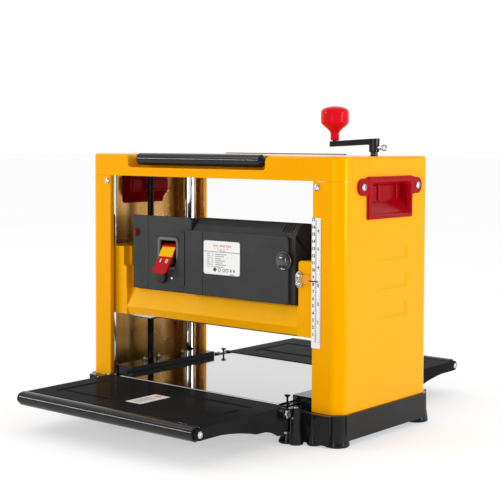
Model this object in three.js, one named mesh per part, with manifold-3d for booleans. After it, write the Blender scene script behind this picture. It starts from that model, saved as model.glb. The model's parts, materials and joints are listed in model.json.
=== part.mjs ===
// Thickness planer, modelled in millimetres. +X is right seen from the infeed side, the board
// is fed along +Y, and +Z is up. The origin is on the floor under the middle of the machine.
import * as THREE from "three";
import { mergeVertices } from "three/addons/utils/BufferGeometryUtils.js";
import Module from "manifold-3d";

const wasm = await Module();
wasm.setup();

// ---------------------------------------------------------------- driving dimensions
const GAP = 0.3; // clearance between pieces that touch
const SHEET = 2; // thickness of the folded covers

const COVER = { halfX: 249.6, halfY: 115.7, bottom: 44.8, seam: 367.5, top: 401.8 };
const COLUMN_INNER_X = 201; // inner edge of each column's front face
const CORNER_CHAMFER = 13;

const BASE = { halfX: 253, top: 44.5, bedTop: 51.5, footGap: 8 };
const BED_HALF_X = 159;
const BED_HALF_Y = 136;
const PLATE_TOP = 53.4;
const RAIL = { innerX: 161, outerX: 199, frontY: -106, rearY: 90, top: 62 };

const POST = { x: 225, y: 96, radius: 12, bottom: 26, top: 375.7 };
const SCREW = { x: 225, radius: 5.5, bottom: 36, leftTop: 393, rightTop: 408 };
const BRIDGE = { bottom: 376, top: 380 };
const SPROCKET = { radius: 15, bottom: 383, top: 388 };

const CUT_HEIGHT = 83; // board thickness that the rest position would leave
const CUT_CIRCLE = 24;
const FEED_RADIUS = 16;
const FEED_Y = 48;
const CUTTER_Z = PLATE_TOP + CUT_HEIGHT + CUT_CIRCLE;
const FEED_Z = CUTTER_Z - CUT_CIRCLE + FEED_RADIUS - 1.5;
const MOTOR = { y: -30, z: 225, radius: 38 };
const PULLEY = { from: 169, to: 180, cutter: 18, motor: 14, belt: 3 };

const BLOCK = { innerX: 166, outerX: 241, narrowX: 231, bottom: 146, shoulder: 240, top: 254 };
const BEAM = { frontY: -104, thickness: 8, bottom: 147, top: 188 };
const HOUSING = { left: -36.4, right: 162, frontY: -103, rearY: 60, top: 305.5, rearTop: 293.5 };
const HOUSING_SHOULDER = 286; // where the front begins to lean back
const BOX = { left: -163, right: -37, frontY: -104, rearY: 58, bottom: 190, frontTop: 306, rearTop: 290 };
const PANEL = { left: -46, right: 153, frontY: -109, backY: -104.6, bottom: 190, top: 287 };

const TABLE = { halfX: 176, innerY: 140, outerY: 309, top: 52.9, sheet: 2.3, rollerY: 320.5 };
const TABLE_ROLLER = { radius: 10.5, z: 45.8, halfX: 172.5 };
const HINGE = { y: 153, z: 46, rod: 3.5, lugFrom: 177, lugTo: 186 };

const HANDLE = { y0: -54, y1: 60, z0: 313, z1: 373.5, open: [-42, 52, 321, 363], back: 233.5 };
const HANDLE_EAR = { offset: 70, middle: 4, z: 359, radius: 12 };
const RETURN_ROLLER = { left: -153, right: 108, y: 104, z: 394, radius: 9.5 };
const TROUGH = { left: -164, right: 120, floor: 381, backY: 91.5 };

const KNOB = { x: 155, bottom: 424, top: 475 };
const RULER = { left: 201, right: 216.5, bottom: 135, top: 317 };
const POINTER_Z = 228.4;

// ---------------------------------------------------------------- materials
function material(color, roughness, metalness) {
  return new THREE.MeshStandardMaterial({ color, roughness, metalness });
}
const YELLOW = material(0xfcbc00, 0.35, 0.1);
const BLACK_CAST = material(0x232426, 0.35, 0.4);
const TABLE_BLACK = material(0x303236, 0.3, 0.4);
const DARK_PLASTIC = material(0x3c3d40, 0.6, 0);
const RED_GLOSS = material(0xc4122a, 0.25, 0);
const AMBER = material(0xd87a10, 0.2, 0);
const CHROME = material(0xd8dadc, 0.12, 1);
const STEEL = material(0xb9bcc0, 0.3, 1);
const DARK_STEEL = material(0x2b2c2e, 0.45, 0.8);
const WHITE_PLATE = material(0xf2f2f0, 0.5, 0);
const BRASS = material(0xb8903c, 0.35, 1);
const RUBBER = material(0x8d8f90, 0.8, 0);
const BELT_RUBBER = material(0x1a1a1b, 0.85, 0);

// ---------------------------------------------------------------- solids
const GRID = 1024; // steps per millimetre: faces that should be flush then hold equal numbers

// A closed three.js geometry as a solid: only positions count, and collapsed faces go.
function solid(geometry) {
  const bare = geometry.clone();
  bare.deleteAttribute("normal");
  bare.deleteAttribute("uv");
  const place = bare.attributes.position.array;
  place.forEach((value, i) => {
    place[i] = Math.round(value * GRID) / GRID;
  });
  const merged = mergeVertices(bare, 1e-4);
  const index = merged.index.array;
  const faces = [];
  for (let i = 0; i < index.length; i += 3) {
    const [a, b, c] = [index[i], index[i + 1], index[i + 2]];
    if (a !== b && b !== c && a !== c) faces.push(a, b, c);
  }
  return manifold(merged.attributes.position.array, new Uint32Array(faces));
}

function manifold(vertProperties, triVerts) {
  return new wasm.Manifold(new wasm.Mesh({ numProp: 3, vertProperties, triVerts }));
}

function box(x0, x1, y0, y1, z0, z1) {
  const geometry = new THREE.BoxGeometry(x1 - x0, y1 - y0, z1 - z0);
  geometry.translate((x0 + x1) / 2, (y0 + y1) / 2, (z0 + z1) / 2);
  return solid(geometry);
}

// The matrix that turns a shape's own x, y and depth to the two axes across and the one along.
function turned(axis, start) {
  const x = new THREE.Vector3(1, 0, 0);
  const y = new THREE.Vector3(0, 1, 0);
  const z = new THREE.Vector3(0, 0, 1);
  const basis = new THREE.Matrix4();
  if (axis === "x") basis.makeBasis(y, z, x).setPosition(start, 0, 0);
  if (axis === "y") basis.makeBasis(x, z, y.clone().negate()).setPosition(0, start, 0);
  if (axis === "z") basis.setPosition(0, 0, start);
  return basis;
}

// An outline pushed along an axis. Its points are (y, z) for x, (x, z) for y and (x, y) for z.
function prism(outline, axis, from, to) {
  const shape = outline instanceof THREE.Shape ? outline : polygon(outline);
  const geometry = new THREE.ExtrudeGeometry(shape, {
    depth: to - from,
    bevelEnabled: false,
    curveSegments: 6,
  });
  geometry.applyMatrix4(turned(axis, axis === "y" ? to : from));
  return solid(geometry);
}

function polygon(points) {
  return new THREE.Shape(points.map(([u, v]) => new THREE.Vector2(u, v)));
}

// A round bar along an axis, centred on the two coordinates across it.
function bar(axis, [a, b], radius, from, to, sides = 24) {
  const outline = [];
  for (let i = 0; i < sides; i += 1) {
    const angle = (2 * Math.PI * (i + 0.5)) / sides;
    outline.push([a + radius * Math.cos(angle), b + radius * Math.sin(angle)]);
  }
  return prism(outline, axis, from, to);
}

// A turned piece: (radius, distance) pairs about a line along an axis, from one end to the other.
function turnedPiece(axis, [a, b], profile, sides = 24) {
  const points = profile.map(([radius, along]) => new THREE.Vector2(radius, along));
  const geometry = new THREE.LatheGeometry(points, sides);
  geometry.rotateX(Math.PI / 2); // the lathe's own axis, y, becomes z
  geometry.applyMatrix4(turned(axis, 0));
  const shift = { x: [0, a, b], y: [a, 0, b], z: [a, b, 0] }[axis];
  if (axis === "y") geometry.scale(1, -1, 1);
  geometry.translate(...shift);
  if (axis === "y") swapWinding(geometry.index.array);
  return solid(geometry);
}

function swapWinding(index) {
  for (let i = 0; i < index.length; i += 3) {
    [index[i], index[i + 1]] = [index[i + 1], index[i]];
  }
}

function join(...pieces) {
  return pieces.reduce((whole, piece) => whole.add(piece));
}

function cut(body, ...tools) {
  return tools.reduce((left, tool) => left.subtract(tool), body);
}

// The piece as it is on the other side: "x" swaps left and right, "y" swaps front and rear.
function mirrored(piece, axis) {
  const { vertProperties, triVerts } = piece.getMesh();
  const start = axis === "x" ? 0 : 1;
  const place = vertProperties.slice();
  for (let i = start; i < place.length; i += 3) place[i] = -place[i];
  const faces = triVerts.slice();
  swapWinding(faces);
  return manifold(place, faces);
}

const planer = new THREE.Group();

function add(name, body, look) {
  const { vertProperties, triVerts } = body.getMesh();
  const geometry = new THREE.BufferGeometry();
  geometry.setAttribute("position", new THREE.BufferAttribute(vertProperties, 3));
  geometry.setIndex(new THREE.BufferAttribute(triVerts, 1));
  geometry.computeVertexNormals();
  const mesh = new THREE.Mesh(geometry, look);
  mesh.name = name;
  planer.add(mesh);
}

// ---------------------------------------------------------------- base
// Each corner stands on round bosses; the innermost is low, so the table skirt passes over it.
function cornerBosses(sideX) {
  const bosses = [
    { x: 236, y: 103, radius: 17, height: BASE.top },
    { x: 209, y: 119, radius: 9, height: BASE.top },
    { x: 187, y: 132, radius: 9.5, height: BASE.bedTop },
    { x: 172, y: 131, radius: 12, height: 13 },
  ];
  return bosses.flatMap(({ x, y, radius, height }) => [
    bar("z", [sideX * x, y], radius, 0, height, 20),
    bar("z", [sideX * x, -y], radius, 0, height, 20),
  ]);
}

function sideSill(side) {
  const [inner, outer] = side > 0 ? [164, BASE.halfX] : [-BASE.halfX, -164];
  const sill = box(inner, outer, -103, 103, BASE.footGap, BASE.top);
  const frontWeb = box(side > 0 ? 170 : -240, side > 0 ? 240 : -170, -124, -96, 10, BASE.top);
  const rearWeb = mirrored(frontWeb, "y");
  const railX = side > 0 ? [RAIL.innerX, RAIL.outerX] : [-RAIL.outerX, -RAIL.innerX];
  const rail = box(...railX, RAIL.frontY, RAIL.rearY, BASE.top - 4, RAIL.top);
  return join(sill, frontWeb, rearWeb, rail, ...cornerBosses(side));
}

function hingeLugs(side) {
  const [from, to] = side > 0 ? [HINGE.lugFrom, HINGE.lugTo] : [-HINGE.lugTo, -HINGE.lugFrom];
  const lug = join(
    box(from, to, -HINGE.y, -116, HINGE.z - 8, HINGE.z + 5),
    bar("x", [-HINGE.y, HINGE.z], 8, from, to, 20),
  );
  return [lug, mirrored(lug, "y")];
}

function baseCasting() {
  const bed = box(-170, 170, -BED_HALF_Y + 2, BED_HALF_Y - 2, 34, BASE.bedTop);
  const frontRail = box(-174, 174, -BED_HALF_Y + 2, -BED_HALF_Y + 15, 14, 36);
  const rearRail = mirrored(frontRail, "y");
  const body = join(
    bed,
    frontRail,
    rearRail,
    sideSill(1),
    sideSill(-1),
    ...hingeLugs(1),
    ...hingeLugs(-1),
  );
  const sockets = [];
  for (const sideX of [-1, 1]) {
    const x = sideX * POST.x;
    sockets.push(bar("z", [sideX * SCREW.x, 0], 7, SCREW.bottom - 0.5, BASE.top + 1));
    sockets.push(bar("z", [x, POST.y], POST.radius + GAP, POST.bottom - 0.5, BASE.top + 1));
    sockets.push(bar("z", [x, -POST.y], POST.radius + GAP, POST.bottom - 0.5, BASE.top + 1));
  }
  for (const y of [-HINGE.y, HINGE.y]) {
    sockets.push(bar("x", [y, HINGE.z], HINGE.rod + GAP, -190, 190));
  }
  return cut(body, ...sockets);
}

function tablePlate() {
  const sheet = box(-BED_HALF_X, BED_HALF_X, -BED_HALF_Y, BED_HALF_Y, BASE.bedTop + GAP, PLATE_TOP);
  const lip = box(-BED_HALF_X, BED_HALF_X, -BED_HALF_Y, -BED_HALF_Y + 1.6, 44, PLATE_TOP);
  return join(sheet, lip, mirrored(lip, "y"));
}

add("base_casting", baseCasting(), BLACK_CAST);
add("table_plate", tablePlate(), STEEL);

// ---------------------------------------------------------------- guide posts and top bridge
for (const [sideX, across] of [[-1, "left"], [1, "right"]]) {
  for (const [sideY, along] of [[-1, "front"], [1, "rear"]]) {
    const centre = [sideX * POST.x, sideY * POST.y];
    add(`post_${along}_${across}`, bar("z", centre, POST.radius, POST.bottom, POST.top, 32), CHROME);
  }
}

function topBridge() {
  const plate = join(
    box(-200, 200, -58, 58, BRIDGE.bottom, BRIDGE.top),
    box(-239, -190, -108, 108, BRIDGE.bottom, BRIDGE.top),
    box(190, 239, -108, 108, BRIDGE.bottom, BRIDGE.top),
  );
  const holes = [-1, 1].map((side) => {
    return bar("z", [side * SCREW.x, 0], SCREW.radius + GAP, BRIDGE.bottom - 1, BRIDGE.top + 1);
  });
  return cut(plate, ...holes);
}
add("top_bridge", topBridge(), DARK_STEEL);

// ---------------------------------------------------------------- covers
// The plan of a column cover on the right: front face, chamfer, side face, chamfer, rear face.
function columnOutline(inset) {
  const x = COVER.halfX - inset;
  const y = COVER.halfY - inset;
  const bend = CORNER_CHAMFER - inset * 0.6;
  const half = [
    [COLUMN_INNER_X, -y],
    [x - bend, -y],
    [x, -y + bend],
  ];
  return [...half, ...half.map(([u, v]) => [u, -v]).reverse()];
}

function fullOutline(inset) {
  const half = columnOutline(inset).slice(1, -1);
  return [...half, ...half.map(([u, v]) => [-u, -v])];
}

const HANDLE_HOLE = HANDLE.open.map((edge, i) => edge + (i % 2 ? 2.5 : -2.5));

function rightCover() {
  const shell = cut(
    prism(columnOutline(0), "z", COVER.bottom, COVER.seam - GAP),
    prism(columnOutline(SHEET), "z", COVER.bottom - 1, COVER.seam + 1),
  );
  const { halfY, bottom, seam } = COVER;
  const lip = box(COLUMN_INNER_X, COLUMN_INNER_X + SHEET, -halfY, -108, bottom, seam - GAP);
  const tab = box(COVER.halfX - SHEET, COVER.halfX, -88, 88, 350, COVER.top - SHEET - GAP);
  const [y0, y1, z0, z1] = HANDLE_HOLE;
  const hole = box(230, 260, y0, y1, z0, z1);
  return cut(join(shell, lip, mirrored(lip, "y"), tab), hole);
}
add("right_cover", rightCover(), YELLOW);
add("left_cover", mirrored(rightCover(), "x"), YELLOW);

// The recess in which a return roller lies, along the front edge of the top cover.
function rollerRecess(inset, over) {
  return box(
    TROUGH.left - inset,
    TROUGH.right + inset,
    -COVER.halfY - over,
    -TROUGH.backY + inset,
    TROUGH.floor - inset,
    COVER.top + over,
  );
}

function topCover() {
  const cap = cut(
    prism(fullOutline(0), "z", COVER.seam, COVER.top),
    prism(fullOutline(SHEET), "z", COVER.seam - 1, COVER.top - SHEET),
  );
  const trough = rollerRecess(SHEET, 0);
  const notch = rollerRecess(0, 5);
  const tabGap = box(-260, 260, -88 - GAP, 88 + GAP, COVER.seam - 1, COVER.top - SHEET);
  const core = box(-247, 247, -108, 108, COVER.seam - 2, COVER.top - SHEET);
  const shaftHole = bar("z", [SCREW.x, 0], 8.5, 390, 410);
  return cut(
    join(cut(cap, cut(tabGap, core)), trough, mirrored(trough, "y")),
    notch,
    mirrored(notch, "y"),
    shaftHole,
  );
}
add("top_cover", topCover(), YELLOW);

// ---------------------------------------------------------------- return rollers on top
function returnRoller(y) {
  const { left, right, z, radius } = RETURN_ROLLER;
  return turnedPiece("x", [y, z], [
    [0, left],
    [2.5, left],
    [radius, left + 7],
    [radius, right - 7],
    [2.5, right],
    [0, right],
  ]);
}
add("front_return_roller", returnRoller(-RETURN_ROLLER.y), BLACK_CAST);
add("rear_return_roller", returnRoller(RETURN_ROLLER.y), BLACK_CAST);

// ---------------------------------------------------------------- carry handles
function rightHandle() {
  const { y0, y1, z0, z1, open, back } = HANDLE;
  const face = COVER.halfX + GAP;
  const frame = box(face, face + 4, y0, y1, z0, z1);
  const ears = [-1, 1].flatMap((side) => {
    const y = HANDLE_EAR.middle + side * HANDLE_EAR.offset;
    const [from, to] = side < 0 ? [y, y0 + 2] : [y1 - 2, y];
    return [
      bar("x", [y, HANDLE_EAR.z], HANDLE_EAR.radius, face, face + 3, 20),
      box(face, face + 3, from, to, HANDLE_EAR.z - HANDLE_EAR.radius, HANDLE_EAR.z + HANDLE_EAR.radius),
    ];
  });
  const cup = box(back, face + 1, open[0] - 2, open[1] + 2, open[2] - 2, open[3] + 2);
  const recess = box(back + 2.5, face + 9, ...open);
  const screwHoles = [-1, 1].map((side) => {
    const y = HANDLE_EAR.middle + side * HANDLE_EAR.offset;
    return bar("x", [y, HANDLE_EAR.z], 2.8, face - 1, face + 9, 12);
  });
  return cut(join(frame, ...ears, cup), recess, ...screwHoles);
}
add("right_carry_handle", rightHandle(), RED_GLOSS);
add("left_carry_handle", mirrored(rightHandle(), "x"), RED_GLOSS);

function handleScrew(side) {
  const y = HANDLE_EAR.middle + side * HANDLE_EAR.offset;
  const face = COVER.halfX + GAP + 3;
  return turnedPiece("x", [y, HANDLE_EAR.z], [
    [0, face - 2.6],
    [2.3, face - 2.6],
    [2.3, face + GAP],
    [5, face + GAP],
    [4.2, face + 2.2],
    [0, face + 3],
  ], 16);
}
for (const [side, place] of [[-1, "front"], [1, "rear"]]) {
  add(`right_handle_screw_${place}`, handleScrew(side), STEEL);
  add(`left_handle_screw_${place}`, mirrored(handleScrew(side), "x"), STEEL);
}

// ---------------------------------------------------------------- ruler and cover screws
const rulerFront = -COVER.halfY - GAP - 1;
function heightRuler() {
  const { left, right, bottom, top } = RULER;
  return box(left, right, rulerFront, rulerFront + 1, bottom, top);
}
add("height_ruler", heightRuler(), WHITE_PLATE);

function coverScrew(x) {
  const face = -COVER.halfY - GAP;
  return turnedPiece("y", [x, 359], [
    [0, face - 3],
    [3.6, face - 2.4],
    [5, face],
    [0, face],
  ], 16);
}
add("cover_screw_left", coverScrew(-208.5), STEEL);
add("cover_screw_right", coverScrew(208.5), STEEL);

// ---------------------------------------------------------------- height drive
function leadScrew(side, top) {
  return bar("z", [side * SCREW.x, 0], SCREW.radius, SCREW.bottom, top, 16);
}

function sprocket(side) {
  const centre = [side * SCREW.x, 0];
  const wheel = bar("z", centre, SPROCKET.radius, SPROCKET.bottom, SPROCKET.top, 20);
  return cut(wheel, bar("z", centre, SCREW.radius + GAP, SPROCKET.bottom - 1, SPROCKET.top + 1, 16));
}

function chainLoop() {
  const ring = (radius) => {
    const shape = new THREE.Shape();
    shape.absarc(SCREW.x, 0, radius, -Math.PI / 2, Math.PI / 2, false);
    shape.absarc(-SCREW.x, 0, radius, Math.PI / 2, (3 * Math.PI) / 2, false);
    return prism(shape, "z", SPROCKET.bottom, SPROCKET.top);
  };
  return cut(ring(SPROCKET.radius + 5), ring(SPROCKET.radius + 1.2));
}

add("left_lead_screw", leadScrew(-1, SCREW.leftTop), DARK_STEEL);
add("right_lead_screw", leadScrew(1, SCREW.rightTop), DARK_STEEL);
add("left_sprocket", sprocket(-1), DARK_STEEL);
add("right_sprocket", sprocket(1), DARK_STEEL);
add("height_chain", chainLoop(), DARK_STEEL);

function crankArm() {
  const hub = bar("z", [SCREW.x, 0], 7.6, 407.5, 427, 20);
  const side = prism([
    [KNOB.x - 8, 414.5],
    [SCREW.x, 418.5],
    [SCREW.x, 427],
    [KNOB.x - 8, 422.8],
  ], "y", -8, 8);
  const plan = new THREE.Shape();
  plan.absarc(SCREW.x, 0, 8, -Math.PI / 2, Math.PI / 2, false);
  plan.absarc(KNOB.x, 0, 8, Math.PI / 2, (3 * Math.PI) / 2, false);
  const arm = side.intersect(prism(plan, "z", 410, 430));
  const spindle = bar("z", [KNOB.x, 0], 3, 420, 466, 12);
  const bore = bar("z", [SCREW.x, 0], SCREW.radius + GAP, 400, SCREW.rightTop + 4, 16);
  return cut(join(hub, arm, spindle), bore);
}
add("crank_arm", crankArm(), BLACK_CAST);

function crankWingScrew() {
  const stem = bar("x", [0, 414], 3, SCREW.x + 7.6 + GAP, SCREW.x + 13, 12);
  const wing = bar("y", [SCREW.x + 17.5, 414], 5.5, -2, 2, 16);
  return join(stem, wing);
}
add("crank_wing_screw", crankWingScrew(), CHROME);

function crankKnob() {
  const outside = turnedPiece("z", [KNOB.x, 0], [
    [0, KNOB.bottom],
    [6.5, KNOB.bottom],
    [6.5, KNOB.bottom + 12],
    [20, KNOB.bottom + 25],
    [21, KNOB.bottom + 27],
    [21, KNOB.bottom + 42.5],
    [18.5, KNOB.bottom + 46.5],
    [12, KNOB.bottom + 49.5],
    [0, KNOB.top],
  ], 28);
  return cut(outside, bar("z", [KNOB.x, 0], 3 + GAP, KNOB.bottom - 1, 467, 12));
}
add("crank_knob", crankKnob(), RED_GLOSS);

function leadNut(side) {
  const centre = [side * SCREW.x, 0];
  const body = join(
    bar("z", centre, 14, BLOCK.bottom - 5, BLOCK.bottom - GAP, 24),
    bar("z", centre, 9, BLOCK.bottom - 5, BLOCK.bottom + 20, 24),
  );
  return cut(body, bar("z", centre, SCREW.radius + GAP, BLOCK.bottom - 6, BLOCK.bottom + 21, 16));
}
add("left_lead_nut", leadNut(-1), BRASS);
add("right_lead_nut", leadNut(1), BRASS);

// ---------------------------------------------------------------- carriage
function endBlock() {
  const low = box(BLOCK.innerX, BLOCK.outerX, BEAM.frontY, -BEAM.frontY, BLOCK.bottom, BLOCK.shoulder);
  const high = box(BLOCK.innerX, BLOCK.narrowX, BEAM.frontY, -BEAM.frontY, BLOCK.bottom, BLOCK.top);
  const sleeves = [-1, 1].map((side) => {
    return bar("z", [POST.x, side * POST.y], 16.4, BLOCK.bottom, BLOCK.top, 24);
  });
  const bores = [-1, 1].map((side) => {
    return bar("z", [POST.x, side * POST.y], POST.radius + GAP, 140, 260, 32);
  });
  const handleRoom = box(231, 250, -66, 76, BLOCK.shoulder - 1, 260);
  const nutBore = bar("z", [SCREW.x, 0], 9 + GAP, 140, BLOCK.bottom + 20.5, 24);
  const screwBore = bar("z", [SCREW.x, 0], SCREW.radius + 1, 140, 260, 16);
  return cut(join(low, high, ...sleeves), ...bores, handleRoom, nutBore, screwBore);
}

// The room for the belt drive: two round ends joined by straight sides.
function beltOutline(extra) {
  const from = new THREE.Vector2(0, CUTTER_Z);
  const to = new THREE.Vector2(MOTOR.y, MOTOR.z);
  const tilt = to.clone().sub(from).angle();
  const lean = Math.acos((PULLEY.cutter - PULLEY.motor) / from.distanceTo(to));
  const shape = new THREE.Shape();
  shape.absarc(from.x, from.y, PULLEY.cutter + extra, tilt + lean, tilt - lean + 2 * Math.PI, false);
  shape.absarc(to.x, to.y, PULLEY.motor + extra, tilt - lean, tilt + lean, false);
  return shape;
}

function carriageCasting() {
  const { frontY, thickness, bottom, top } = BEAM;
  const reach = BLOCK.innerX + 4;
  const front = box(-reach, reach, frontY, frontY + thickness, bottom, top);
  const rear = box(-reach, reach, -frontY - thickness, -frontY, bottom, top);
  const frontShelf = box(-reach, reach, frontY, -68, 178, top);
  const whole = join(endBlock(), mirrored(endBlock(), "x"), front, rear, frontShelf);
  const shaftBores = [bar("x", [0, CUTTER_Z], 10 + GAP, -186, 190)];
  for (const side of [-1, 1]) {
    shaftBores.push(bar("x", [side * FEED_Y, FEED_Z], 7 + GAP, -176, 176, 16));
  }
  const beltPocket = prism(beltOutline(PULLEY.belt + 1.5), "x", 160, PULLEY.to + 2);
  return cut(whole, ...shaftBores, beltPocket);
}
add("carriage_casting", carriageCasting(), YELLOW);

function motorHousing() {
  const section = [
    [HOUSING.frontY, PANEL.bottom],
    [HOUSING.frontY, HOUSING_SHOULDER],
    [-96, 296],
    [-88, HOUSING.top - 2],
    [-80, HOUSING.top],
    [HOUSING.rearY - 14, HOUSING.rearTop],
    [HOUSING.rearY, HOUSING.rearTop - 14],
    [HOUSING.rearY, PANEL.bottom],
  ].reverse();
  const hollow = [
    [HOUSING.frontY + 3, PANEL.bottom - 1],
    [HOUSING.frontY + 3, HOUSING_SHOULDER - 2],
    [-93.4, 294.4],
    [-86.4, HOUSING.top - 4.6],
    [-79.6, HOUSING.top - 3],
    [HOUSING.rearY - 15.5, HOUSING.rearTop - 3],
    [HOUSING.rearY - 3, HOUSING.rearTop - 15.5],
    [HOUSING.rearY - 3, PANEL.bottom - 1],
  ].reverse();
  const shell = cut(
    prism(section, "x", HOUSING.left, HOUSING.right),
    prism(hollow, "x", HOUSING.left + 3, HOUSING.right - 3),
  );
  return cut(shell, bar("x", [MOTOR.y, MOTOR.z], 9, HOUSING.right - 5, HOUSING.right + 5));
}
add("motor_housing", motorHousing(), DARK_PLASTIC);

const SWITCH = { left: -101, right: -67, bottom: 214, top: 269 };
const GLAND = [-120, 265];

function switchBox() {
  const { left, right, frontY, rearY, bottom, frontTop, rearTop } = BOX;
  const outside = [
    [frontY, bottom],
    [frontY, frontTop],
    [rearY, rearTop],
    [rearY, bottom],
  ].reverse();
  const inside = [
    [frontY + 3, bottom - 1],
    [frontY + 3, frontTop - 3],
    [rearY - 3, rearTop - 3],
    [rearY - 3, bottom - 1],
  ].reverse();
  const shell = cut(prism(outside, "x", left, right), prism(inside, "x", left + 3, right - 3));
  const well = box(SWITCH.left, SWITCH.right, frontY - 1, frontY + 5, SWITCH.bottom, SWITCH.top);
  const buttonHole = bar("y", [-153.5, 278.6], 4.3, frontY - 1, frontY + 5, 16);
  const glandHole = bar("y", GLAND, 7.3, rearY - 5, rearY + 2, 16);
  return cut(shell, well, buttonHole, glandHole);
}
add("switch_box", switchBox(), DARK_PLASTIC);

function frontPanel() {
  const outline = new THREE.Shape();
  const { left, right, bottom, top } = PANEL;
  outline.moveTo(left, bottom);
  outline.lineTo(right, bottom);
  outline.lineTo(right, top - 4);
  outline.absarc(right - 4, top - 4, 4, 0, Math.PI / 2, false);
  outline.lineTo(left, top);
  return prism(outline, "y", PANEL.frontY, PANEL.backY);
}
add("front_panel", frontPanel(), DARK_PLASTIC);

function switchFrame() {
  const { left, right, bottom, top } = SWITCH;
  const front = BOX.frontY - GAP;
  return cut(
    box(left - 5, right + 5, front - 3, front, bottom - 5, top + 5),
    box(left, right, front - 6, front + 3, bottom, top),
  );
}
add("switch_frame", switchFrame(), DARK_PLASTIC);

add("rating_label", box(-6.5, 64.5, PANEL.frontY - GAP - 0.8, PANEL.frontY - GAP, 223.8, 274), WHITE_PLATE);

function brushCap() {
  const face = PANEL.frontY - GAP;
  return turnedPiece("y", [146, 252.8], [
    [0, face - 7],
    [7, face - 6],
    [12, face - 3],
    [13.8, face],
    [0, face],
  ], 24);
}
add("brush_cap", brushCap(), DARK_PLASTIC);

// The pointer's plate lies on the end block; its needle reaches forward and over the ruler.
const blockFace = BEAM.frontY - GAP;
function depthPointer() {
  const needleFront = rulerFront - 1.6;
  const stem = box(196.2, 199.6, needleFront, blockFace, POINTER_Z - 1.2, POINTER_Z + 1.2);
  const needle = box(197, 213, needleFront, needleFront + 1.2, POINTER_Z - 0.6, POINTER_Z + 0.6);
  const plate = prism([
    [182, POINTER_Z - 7],
    [192, POINTER_Z - 7],
    [199.6, POINTER_Z],
    [192, POINTER_Z + 7],
    [182, POINTER_Z + 7],
    [164, POINTER_Z + 4],
    [164, POINTER_Z - 4],
  ], "y", blockFace - 1.5, blockFace);
  return join(plate, stem, needle);
}
add("depth_pointer", depthPointer(), AMBER);

const pointerScrewFace = blockFace - 1.5 - GAP;
add("pointer_screw", bar("y", [176, POINTER_Z], 8, pointerScrewFace - 6, pointerScrewFace, 12), STEEL);

function motorBody() {
  const can = bar("x", [MOTOR.y, MOTOR.z], MOTOR.radius, 20, 156, 32);
  return cut(can, bar("x", [MOTOR.y, MOTOR.z], 5 + GAP, 19, 157, 16));
}
add("motor_body", motorBody(), DARK_STEEL);

function motorRotor() {
  const shaft = bar("x", [MOTOR.y, MOTOR.z], 5, 24, PULLEY.to, 16);
  const pulley = bar("x", [MOTOR.y, MOTOR.z], PULLEY.motor - GAP, PULLEY.from, PULLEY.to, 24);
  return join(shaft, pulley);
}
add("motor_rotor", motorRotor(), STEEL);

function driveBelt() {
  const [from, to] = [PULLEY.from + 0.5, PULLEY.to - 0.5];
  return cut(
    prism(beltOutline(PULLEY.belt), "x", from, to),
    prism(beltOutline(0.4), "x", from - 1, to + 1),
  );
}
add("drive_belt", driveBelt(), BELT_RUBBER);

// The hood behind the housing takes the chips from above the outfeed roller and throws them out
// at the rear; it is open below and at its mouth.
function chipChute() {
  const outside = [
    [62, 188.4],
    [134, 188.4],
    [134, 210],
    [98, 236],
    [62, 236],
  ];
  const inside = [
    [64.5, 180],
    [94, 180],
    [106, 191],
    [140, 191],
    [140, 206],
    [97, 233.5],
    [64.5, 233.5],
  ];
  return cut(prism(outside, "x", -150, 150), prism(inside, "x", -147.5, 147.5));
}
add("chip_chute", chipChute(), BLACK_CAST);

function cableGland() {
  return turnedPiece("y", GLAND, [
    [0, BOX.rearY - 6],
    [7, BOX.rearY - 6],
    [7, BOX.rearY + GAP],
    [10, BOX.rearY + GAP],
    [10, BOX.rearY + 6],
    [6.5, BOX.rearY + 10],
    [5, BOX.rearY + 26],
    [0, BOX.rearY + 26],
  ], 16);
}
add("cable_gland", cableGland(), BELT_RUBBER);

// ---------------------------------------------------------------- switch and reset button
function switchToggle() {
  const profile = [
    [-101.5, 262],
    [-111.5, 244.5],
    [-112, 243],
    [-127, 220.5],
    [-123.5, 217.5],
    [-100, 236],
    [-93, 240],
    [-92, 258],
  ];
  return prism(profile, "x", -98.5, -70);
}
add("switch_toggle", switchToggle(), RED_GLOSS);
add("reset_button", bar("y", [-153.5, 278.6], 4, BOX.frontY - 4, BOX.frontY + 6, 16), RED_GLOSS);

// ---------------------------------------------------------------- cutterhead and feed rollers
// The drum, its two journals and the belt pulley are turned from one bar.
function cutterHead() {
  const centre = [0, CUTTER_Z];
  const drum = bar("x", centre, 22, -158, 158, 32);
  const journals = bar("x", centre, 10, -184, PULLEY.from, 24);
  const pulley = bar("x", centre, PULLEY.cutter - GAP, PULLEY.from, PULLEY.to, 24);
  const slots = [-1, 1].map((side) => {
    const z = CUTTER_Z + side * 19;
    return box(-160, 160, -2.5, 2.5, z - 4, z + 4);
  });
  return cut(join(drum, journals, pulley), ...slots);
}
add("cutterhead", cutterHead(), STEEL);

for (const [side, name] of [[1, "knife_a"], [-1, "knife_b"]]) {
  const [low, high] = side > 0 ? [15.6, CUT_CIRCLE] : [-CUT_CIRCLE, -15.6];
  add(name, box(-157, 157, -2, 2, CUTTER_Z + low, CUTTER_Z + high), CHROME);
}

function feedRoller(y) {
  return join(
    bar("x", [y, FEED_Z], FEED_RADIUS, -160, 160, 28),
    bar("x", [y, FEED_Z], 7, -174, 174, 16),
  );
}
add("infeed_feed_roller", feedRoller(-FEED_Y), RUBBER);
add("outfeed_feed_roller", feedRoller(FEED_Y), RUBBER);

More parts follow.
